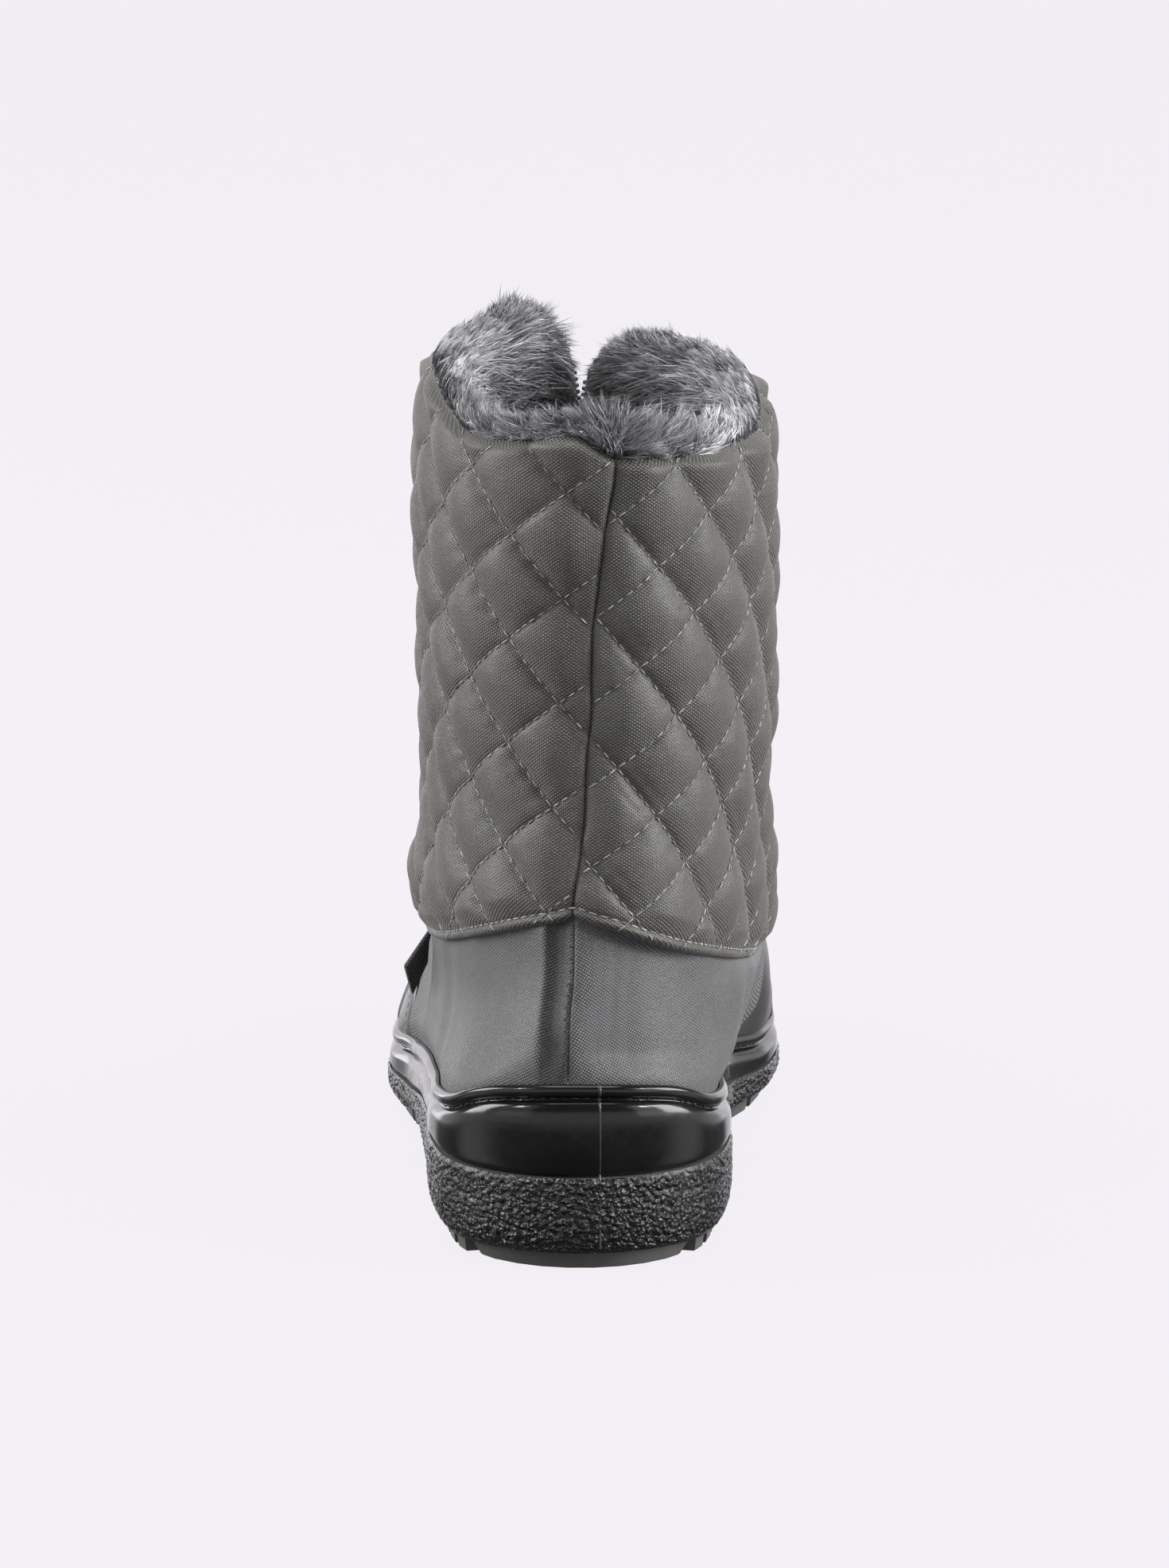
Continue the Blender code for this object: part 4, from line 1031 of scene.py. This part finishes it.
toeGuard = sheet("toeGuard", guard, guardPlace, guardLeather, weld=False)
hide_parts("toe_guard")
vampRises = np.linspace(1.15, 3.3, 400)
guardDegrees = np.linspace(guard["start"] + 2.5, 180, 500)
guardRises = guardTop(guardDegrees) - guard["stitch"] / guardRing
footRows = []
for side in (-1, 1):
    turn = side * (vampEdge(side, vampRises) + vamp["stitch"] / footTurn)
    footRows.append(evenly(turn, vampRises, vampOut, 2.4))
for side in (-1, 1):
    footRows.append(evenly(side * np.radians(guardDegrees), guardRises, guardOut, 2.6))
stitches("footStitches", footRows, darkThread)


def besideHeel(top, off):  # places up the back seam, a stitch apart and a little left of it
    rise = np.arange(1.2, top, 0.265)
    turn = seamTurn(rise) - off / 42
    return turn, rise, faceNormal(turn, rise), upwardAt(turn, rise)


def heelThread():  # a thread that comes up beside the seam and hooks back into it
    turn, rise, normal, upward = besideHeel(3.5, 0.55)
    upright = rowOn(turn, rise, heelOut(turn, rise) + 0.25, size=0.36, length=0.8)
    slanting = unit(np.cross(normal, upward)) * 0.42 - upward * 0.36
    centre = upperPoint(turn, rise, heelOut(turn, rise) + 0.4) + slanting
    across = unit(np.cross(slanting, normal)) * 0.15
    return [upright, (centre, np.stack([across, slanting, normal * 0.15], axis=1))]


def heelHoles():  # the dark hole at each end of a stitch
    turn, rise, normal, upward = besideHeel(4.5, 0.75)
    slanting = unit(np.cross(upward, normal)) * 0.42 - upward * 0.14
    across = unit(np.cross(slanting, normal)) * 0.2
    centre = upperPoint(turn, rise, heelOut(turn, rise) + 0.12)
    return centre, np.stack([across, slanting, normal * 0.12], axis=1)


def seamShade():  # the dark line down the middle of the back seam
    rise = np.linspace(1.1, 4.6, 60)
    turn = seamTurn(rise)
    return rowOn(turn, rise, heelOut(turn, rise) + 0.16, size=0.34, length=1.4)


stitches("heelSeamThread", heelThread(), darkThread)
stitches("heelSeamStitches", [heelHoles(), seamShade()], darkThread)
print("upper made")

# The rubber band round the sole, with its lip and stitched groove
band = dict(columns=320, rows=64, moulding=1.5)
bandSide = [  # step, share of the way from the tread to 4.5 below the lip, height added, inset
    (0.0, 0.0, 0.3, 3.4), (0.5, 0.0, 0.35, 2.0), (1.0, 0.0, 1.0, 1.0), (1.6, 0.14, 0.2, 0.35),
    (2.4, 0.33, 0.0, 0.05), (3.4, 0.58, 0.0, 0.1), (4.2, 0.76, 0.0, 0.22), (4.8, 0.89, 0.0, 0.5),
    (5.3, 0.98, 0.2, 1.0), (5.7, 1.0, 0.75, 1.65), (6.0, 1.0, 1.3, 2.4), (6.2, 1.0, 1.7, 2.5),
    (6.5, 1.0, 2.0, 1.8), (6.8, 1.0, 2.3, 1.2), (7.4, 1.0, 3.05, 0.85), (8.1, 1.0, 4.0, 0.95),
    (8.7, 1.0, 4.8, 1.5), (9.2, 1.0, 5.2, 2.3), (9.6, 1.0, 5.1, 3.0), (10.0, 1.0, 2.5, 3.3),
]
bandShare, bandUp, bandInset = (Profile(bandSide, i) for i in (1, 2, 3))


def bandPoint(turn, step, out=0.0):
    point = solePoint(turn, bandInset(step) - out)
    along = alongOf(point)
    z = blend(treadLine(along), lipLine(along) - 4.5, bandShare(step)) + bandUp(step)
    return np.stack([point[..., 0], point[..., 1], z], axis=-1)


def bandPlace(u, v):
    turn, step = blend(-math.pi, math.pi, u), v * 10
    wobble = 0.1 * waves(turn * 60, step * 4, 30.0, 3.0)
    point = bandPoint(turn, step, wobble * smooth(1.0, 2.0, step) * smooth(9.0, 8.0, step))
    return point, (turn * 90, point[:, 2])


soleBand = sheet("soleBand", band, bandPlace, bandRubber)
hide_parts("midsole")


def bandRow(step, pitch):
    turn = np.linspace(-math.pi, math.pi, 3000)
    (turn,) = spaced(bandPoint(turn, step), pitch, turn)
    points = bandPoint(turn, step, 0.12)
    centres, axes = stitchRow(points, unit(points - bandPoint(turn, step, -1.0)), size=0.44, length=0.66)
    # Moulded marks, not thread: no two are the same length, and some have not come out
    number = np.arange(len(centres))
    keep = spread(number, 4.0, 1) > 0.16
    axes[:, 1] *= blend(0.45, 1.3, spread(number, 7.0, 2))[:, None]
    centres[:, 2] += 0.25 * (spread(number, 9.0, 3) - 0.5)
    return centres[keep], axes[keep]


stitches("bandStitches", [bandRow(6.16, 2.6)], moulded)
print("sole band made")

# The tread unit: a pebbled side and the lugs below
tread = dict(
    columns=1120,
    rows=56,
    size=1.5,  # from pebble to pebble
    height=0.6,
    lift=4.2,  # of the pebbled side's foot over the lugs' soles
    side=[(0.0, 2.4), (0.22, 1.0), (0.5, 0.5), (1.0, 0.5)],  # share of the way up, inset
)
treadInset = Profile(tread["side"], 1)
treadOutline = outlinePoint(turnTable)
treadAround = np.cumsum(np.linalg.norm(np.diff(treadOutline, axis=0, prepend=treadOutline[:1]), axis=1))


def treadPlace(u, v):
    turn = np.interp(u, [0, 0.32, 0.68, 1], [-math.pi, -1.15, 1.15, math.pi])  # closer columns at the heel
    inset = treadInset(v) * tuckLine(alongOf(solePoint(turn, 0.0)))
    around = np.interp(turn, turnTable, treadAround)
    along = alongOf(solePoint(turn, inset))
    z = blend(groundLine(along) + tread["lift"] + 0.15, treadLine(along) + 0.1, v)
    lumps = 1 - np.minimum(pebbles(around, z * 1.15, tread["size"]), 1) ** 2
    lumps += 0.35 * waves(around, z, 2.6, 1.0)
    rim = smooth(0.0, 0.06, v) * smooth(1.0, 0.94, v)
    point = solePoint(turn, inset - 0.1 - rim * tread["height"] * lumps)
    return np.stack([point[:, 0], point[:, 1], z], axis=-1), (around, z)


pebbledSide = sheet("pebbledSide", tread, treadPlace, pebbleRubber)

lugs = dict(below=0.0098, bevel=0.00045)  # in metres


def welded(node):  # a copy of a node's mesh with its loose triangles joined
    bm = bmesh.new()
    bm.from_mesh(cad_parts[node].data)
    bmesh.ops.remove_doubles(bm, verts=bm.verts, dist=2e-6)
    return bm


def lugsFrom(node):  # the tread unit's own mesh, with its blocks' lower edges eased
    bm = welded(node)
    bmesh.ops.dissolve_limit(bm, angle_limit=math.radians(1.5), verts=bm.verts, edges=bm.edges)
    sharp = [e for e in bm.edges if len(e.link_faces) == 2 and e.calc_face_angle() > 0.7]
    low = [e for e in sharp if max(v.co.z for v in e.verts) < lugs["below"]]
    low = [e for e in low if min(face.normal.z for face in e.link_faces) < -0.6]
    bmesh.ops.bevel(bm, geom=low, offset=lugs["bevel"], segments=2, profile=0.5, affect="EDGES", material=-1)
    return meshFrom(bm, "treadUnit")


treadUnit = addPiece("treadUnit", lugsFrom("outsole"), treadRubberPaintedLight)
treadUnit.data.set_sharp_from_angle(angle=math.radians(40))
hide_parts("outsole")


def mouldPlace(u, v):  # a low bead down the heel, from the band's lip to the lugs
    low = smooth(0.42, 0.38, v)
    step = np.interp(v, [0, 0.4, 0.8, 1], [0.9, 0.9, 5.6, 9.0])
    rough = waves(v * 60, v * 7, 2.2, 3.0)
    flash = 0.0026 * smooth(0.72, 0.84, v) * (1 + rough)  # wider and ragged on the lip
    turn = (band["moulding"] + 1.0) / sole["heelRadius"] + (u - 0.5) * (0.003 + flash) * 2
    proud = (0.14 + 0.05 * rough + 0.12 * smooth(0.72, 0.84, v)) * np.sin(math.pi * u) - 0.04
    base = solePoint(turn, 0.05 - proud)
    base = np.stack([base[:, 0], base[:, 1], np.interp(v, [0, 0.4], [6.0, 23.5])], axis=-1)
    return blend(bandPoint(turn, step, proud), base, low[:, None]), (u, v)


addPiece("mouldLine", wrapped("mouldLine", 4, 140, mouldPlace), moulded)
print("tread unit made")

# The fur: stand-off from the upper's face, line it is measured from, height over it, share of the pile
furSection = [
    (0.6, "collar", -1.0, 0.0),
    (0.3, "collar", 0.4, 0.08),
    (-1.4, "collar", 0.7, 0.3),
    (-3.8, "collar", 0.0, 0.3),
    (-6.2, "collar", -4.0, 0.1),
    (-7.0, "collar", -13.0, 0.0),
    (-6.6, "middle", -4.0, 0.0),
    (-5.2, "foot", 0.0, 0.0),
]
fur = dict(
    foot=146.0,
    middle=172.0,
    edge=1.4,
    clumps=1280,
    perClump=20,
    length=11.0,
    width=0.36,
    spread=1.9,
    lean=[  # turn, how far the rim's pile leans out
        (0, 0.3), (0.45, 0.2), (0.8, -0.2), (1.4, -0.55), (2.1, -0.5), (2.7, -0.1), (3.1, 0.0),
    ],
    lowest=0.55,  # how much lower the pile is left of the back seam
    shade=[  # turn, how pale the pile is: painted shade on the lateral side and painted light on the medial side
        (-3.1, 0.5), (-2.0, 0.46), (-1.3, 0.34), (-0.6, 0.42),
        (0, 0.52), (0.8, 0.66), (1.5, 0.62), (3.1, 0.5),
    ],
)
furEdge = frontTurn(fur["edge"])


def lowPile(turn):
    beside = -besideSeam(turn)
    return fur["lowest"] * smooth(1.0, 6.0, beside) * smooth(42.0, 26.0, beside)


def furRow(turn, row):
    out, line, up, pile = row
    base = collarHeight(turn) + topPeak(turn) if line == "collar" else fur[line]
    height = base + up + pile * (1 - lowPile(turn)) * pileHeight(np.degrees(np.abs(turn)))
    top = np.minimum(height, 213.9)  # the upper's last ring, over which the fur goes straight on up
    point = upperPoint(turn, riseAt(top), out)
    point[..., 2] += height - top
    return point


def furSurface(turn, q):  # a point of the fur's root surface, q from 0 outside to 1 deep inside
    rows = np.stack([furRow(turn, row) for row in furSection], axis=0)
    last = len(furSection) - 1
    at = np.clip(q, 0, 1) * last
    i = np.clip(at.astype(int), 0, last - 1)
    t = (at - i)[:, None]
    p0, p1, p2, p3 = (rows[np.clip(i + k, 0, last), np.arange(len(turn))] for k in (-1, 0, 1, 2))
    curve = (2 * p0 - 5 * p1 + 4 * p2 - p3) * t**2 + (3 * p1 - p0 - 3 * p2 + p3) * t**3
    return 0.5 * (2 * p1 + (p2 - p0) * t + curve)


def furFrame(turn, q):
    around = unit(furSurface(turn + 0.01, q) - furSurface(turn - 0.01, q))
    inward = furSurface(turn, np.minimum(q + 0.01, 1)) - furSurface(turn, np.maximum(q - 0.01, 0))
    return around, unit(np.cross(around, unit(inward)))


def furBasePlace(u, v):
    turn = blend(-furEdge, furEdge, u)
    return furSurface(turn, v), (turn * topWidth, v * 60)


furBase = addPiece("furBacking", wrapped("furBacking", 220, 44, furBasePlace), lining)
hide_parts("fur_collar")


def furStrands(name, low, high):
    # Locks whose hairs start apart and lean to one tip. First where each lock stands
    clumps, perClump = fur["clumps"], fur["perClump"]
    owner = np.repeat(np.arange(clumps), perClump)
    count = len(owner)
    middle = seed.uniform(low, high, clumps)[owner]
    deep = seed.uniform(0.1, 1.0, clumps)[owner] ** 1.35
    leanAround = seed.normal(0, 0.34, clumps)[owner, None]
    leanUp = seed.normal(0, 0.26, clumps)[owner, None]
    reach = seed.uniform(0.72, 1.15, clumps)[owner]
    turn = middle + seed.normal(0, fur["spread"] / topWidth, count)
    turn = np.clip(turn, -furEdge, frontTurn(fur["edge"] + 3.2))
    q = np.clip(deep + seed.normal(0, fur["spread"] / 55, count), 0.0, 1.0)
    root = furSurface(turn, q)
    around, normal = furFrame(turn, q)
    outward = faceNormal(turn, collarRise(turn))
    upward = np.array([0.0, 0.0, 1.0])
    toFront = (frontTurn(0.4) - np.abs(turn)) * frontWidth
    beside = besideSeam(turn)
    inside = smooth(0.36, 0.6, q)
    outer = smooth(0.2, 0.03, q) * smooth(1.0, 0.6, np.abs(turn))  # hairs that fall over the shaft's edge
    # On the rim the pile stands up and leans out at the back, and inside it lies level towards the front
    forward = around * (np.sign(turn + 1e-6) * smooth(-1.0, 10.0, toFront))[:, None]
    leanOut = np.interp(np.abs(turn), *zip(*fur["lean"])) + 0.3 * outer
    parting = np.tanh(beside / 6.5) * blend(0.75, 0.25, smooth(0.9, 1.8, np.abs(turn)))
    rim = upward * (0.75 - 0.35 * outer)[:, None] + outward * leanOut[:, None] + around * parting[:, None]
    deepWay = forward * 0.95 - outward * 0.3 + upward * 0.05
    ownLean = around * leanAround * blend(1.4, 0.5, inside)[:, None] + upward * leanUp * 0.6
    way = blend(rim, deepWay, inside[:, None]) + ownLean
    way = unit(way + seed.normal(0, 0.1, (count, 3)))
    long = fur["length"] * reach * seed.uniform(0.7, 1.1, count)
    pile = np.clip(pileHeight(np.degrees(np.abs(turn))) / 5.5, 0.55, 1.0)
    tufts = 1 + 0.5 * waves(turn * topWidth, q * 50, 9.5, 2.0)
    tufts += 0.2 * waves(turn * topWidth, q * 50, 3.6, 5.0)
    tufts += 0.4 * bell(beside, -1.0, 4.5)  # a tall tuft over the back seam
    long *= blend(pile * tufts, 1.15, inside) * (1 - 0.45 * outer)
    long *= (1 - 0.6 * lowPile(turn) * (1 - inside)) * blend(0.25, 1.0, smooth(0.0, 15.0, toFront))
    tip = root + way * long[:, None]
    # Most hairs are drawn to the middle of their lock's tips
    lockTip = np.zeros((clumps, 3))
    np.add.at(lockTip, owner, tip)
    pull = seed.uniform(0.5, 0.95, count)
    pull[seed.random(count) < 0.13] = 0.0
    tip = blend(tip, lockTip[owner] / perClump, pull[:, None])
    sag = np.array([0, 0, -1.0]) * seed.uniform(0.3, 1.5, count)[:, None]
    curl = unit(np.cross(way, normal)) * seed.normal(0, 0.45, count)[:, None] + sag - normal * 0.4
    across = unit(np.cross(way, unit(seed.normal(0, 1, (count, 3))))) * fur["width"]
    across *= seed.uniform(0.7, 1.25, count)[:, None]
    shade = seed.normal(0, 0.17, clumps)[owner] + seed.normal(0, 0.24, count)
    # painted light and shade by turn: the pile is darker on the lateral side and paler on the medial side
    shade += np.interp(turn, *zip(*fur["shade"]))

    def placed(shape):
        t = shape[:, 1, None]
        wide = (shape[:, 0, None] - 0.5) * (1 - 0.75 * t)
        bent = curl[:, None] * t * (t - 0.25)
        return root[:, None] + (tip - root)[:, None] * t + bent + across[:, None] * wide

    strand = gridOf(1, 3)
    bmesh.ops.pointmerge(strand, verts=[v for v in strand.verts if v.co.y > 0.9], merge_co=(0.5, 1, 0))
    piece = addPiece(name, manyOf(name, strand, np.clip(shade, 0, 1), placed), furHair)


furStrands("furBack", -0.95, 0.95)
furStrands("furLateral", -furEdge, -0.9)
furStrands("furMedial", 0.9, furEdge)
print("fur made")

# The zip: two tapes and their teeth
zipper = dict(
    pitch=1.7,
    foot=6.08,  # rise of the lower end
    tooth=(1.25, 0.52, 0.55),  # half its size across, up and out
    tape=[  # share of the way out, distance from the middle, stand-off
        (0.0, 0.15, 0.75), (0.12, 0.15, 1.3), (0.3, 0.9, 1.45),
        (0.6, 3.4, 1.42), (0.95, 5.3, 1.4), (1.0, 5.4, 0.75),
    ],
)
tapeBeside, tapeOut = Profile(zipper["tape"], 1), Profile(zipper["tape"], 2)


def tapePlace(side):
    def place(u, v):
        turn = side * frontTurn(tapeBeside(u))
        rise = blend(zipper["foot"], collarRise(side * frontTurn(0.15)) - 1 / ringStep, v)
        return upperPoint(turn, rise, tapeOut(u)), (tapeBeside(u), readTable(upTable, turn, rise))

    return place


def teeth(name, side):
    bm = bmesh.new()
    bmesh.ops.create_cube(bm, size=2.0)
    bmesh.ops.bevel(bm, geom=bm.edges[:], offset=0.45, segments=1, profile=0.5, affect="EDGES", material=-1)
    rise = np.linspace(zipper["foot"] + 0.05, collarRise(side * frontTurn(0.3)) - 0.1, 1500)
    start = 0 if side > 0 else zipper["pitch"] / 2  # the two sides' teeth lie between each other
    (rise,) = spaced(facePoint(side * frontTurn(0.5), rise), zipper["pitch"], rise, start=start)
    turn = np.full(len(rise), side * frontTurn(0.55))
    normal, upward = faceNormal(turn, rise), upwardAt(turn, rise)
    ways = unit(np.cross(upward, normal)), upward, normal
    axes = np.stack([way * half for way, half in zip(ways, zipper["tooth"])], axis=1)
    return copies(name, bm, upperPoint(turn, rise, 1.55), axes)


tapes = [(-1, "zipTapeLateral", "zip_tape_lateral"), (1, "zipTapeMedial", "zip_tape_medial")]
for side, name, node in tapes:
    tape = addPiece(name, wrapped(name, 12, 120, tapePlace(side)), tapeCloth)
    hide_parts(node)
for side, name in ((-1, "zipTeethLateral"), (1, "zipTeethMedial")):
    row = addPiece(name, teeth(name, side), darkMetal)
    row.data.set_sharp_from_angle(angle=math.radians(30))
print("zip made")

# The nodes that keep their own shape
for node, finish in (("zip_slider", darkMetal), ("zip_pull", darkMetal), ("insole", lining)):
    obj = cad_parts[node]
    if not obj.data.materials:
        obj.data.materials.append(None)
    for slot in obj.material_slots:
        slot.material = finish

labelSize = 1.4  # how many times the node's own size, from its sewn end


def labelMesh():
    bm = welded("side_label")
    root = max((v.co for v in bm.verts), key=lambda co: co.z).copy()
    bmesh.ops.scale(bm, vec=(labelSize,) * 3, space=Matrix.Translation(-root), verts=bm.verts)
    mesh = meshFrom(bm, "sideLabel")
    layCloth(mesh, valuesOf(mesh.vertices, "co", 3)[:, 1:] / mm)
    return mesh


label = addPiece("sideLabel", labelMesh(), ribbon)
label.data.set_sharp_from_angle(angle=math.radians(30))
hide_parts("side_label")
print("small parts dressed")

# The studio, in metres
studio = dict(
    pale=screen(245, 242, 247),
    elevation=12.0,
    distance=2.108,
    aim=(0.0, 0.0, 0.0913),
    lens=190.0,
    sensor=36.0,
    around=0.12,  # how bright the air is all round
    beside=0.75,  # at both sides
    behind=1.3,  # past the boot
    floorGlow=0.945,
)
lamps = [  # name, place, height that it is aimed at, size, power
    ("leftLamp", (-1.5, 0.12, 0.72), 0.12, (0.85, 1.1), 31.0),
    ("rightLamp", (1.5, -0.18, 0.72), 0.12, (0.85, 1.1), 36.0),
    ("leftFill", (-1.25, -0.95, 0.6), 0.1, (0.9, 1.1), 1.8),
    ("rightFill", (1.35, -0.85, 0.6), 0.1, (0.9, 1.1), 5.0),
    ("leftGlint", (-1.2, -0.85, 1.0), 0.1, (0.12, 0.3), 6.0),
    ("rightGlint", (1.25, -0.8, 1.0), 0.1, (0.12, 0.3), 6.5),
    ("leftRim", (-0.75, 1.5, 0.35), 0.1, (0.35, 1.2), 2.5),
    ("rightRim", (0.75, 1.5, 0.35), 0.1, (0.35, 1.2), 0.6),
    ("topLamp", (0, -0.25, 2.2), 0.1, (1.6, 1.2), 22.0),
]
for name, (x, y, z), height, size, power in lamps:
    data = bpy.data.lights.new(name, "AREA")
    data.shape = "RECTANGLE"
    data.size, data.size_y = size
    data.energy = power
    lamp = linked(name, data)
    lamp.location = (x, y, z)
    lamp.rotation_euler = (math.atan2(math.hypot(x, y), z - height), 0, math.atan2(y, x) + math.pi / 2)

ground = bmesh.new()
bmesh.ops.create_grid(ground, x_segments=1, y_segments=1, size=60.0)
glow = dict(Emission_Color=studio["pale"], Emission_Strength=studio["floorGlow"])
matt = dict(Base_Color=screen(32, 31, 33), Roughness=0.9, Specular_IOR_Level=0.1)
floorFinish = Finish("pale floor", **matt, **glow)
floor = linked("floor", meshFrom(ground, "floor"))
floor.data.materials.append(floorFinish.material)
floor.visible_diffuse = False  # the pale floor throws no light back onto the heel
floor.visible_glossy = False

world = bpy.data.worlds.new("studio")
world.use_nodes = True
sky = Nodes(world.node_tree)
_, ahead, height = sky.split(sky.node("ShaderNodeTexCoord", {}, {}, "Generated"))
level = sky.sum("ABSOLUTE", height)
sides = sky.reach(sky.sum("ABSOLUTE", ahead), 0.12, 0.4, 1.0, 0.0) * sky.reach(level, 0.45, 0.7, 1.0, 0.0)
backdrop = sides * studio["beside"] + sky.reach(ahead, 0.87, 0.97, studio["around"], studio["behind"])
horizon = sky.reach(level, 0.12, 0.2, studio["floorGlow"], 0.0)
shine = sky.sum("MAXIMUM", backdrop, horizon)
air = world.node_tree.nodes["Background"]
air.inputs["Color"].default_value = studio["pale"]
world.node_tree.links.new(shine.socket, air.inputs["Strength"])
bpy.context.scene.world = world
bpy.context.scene.view_settings.view_transform = "Standard"

cameraData = bpy.data.cameras.new("camera")
cameraData.lens = studio["lens"]
cameraData.sensor_width = studio["sensor"]
camera = linked("camera", cameraData)
tilt = math.radians(studio["elevation"])
away = np.array([0, -math.cos(tilt), math.sin(tilt)]) * studio["distance"]
camera.location = away + studio["aim"]
camera.rotation_euler = (math.pi / 2 - tilt, 0, 0)
bpy.context.scene.camera = camera
print("studio set")
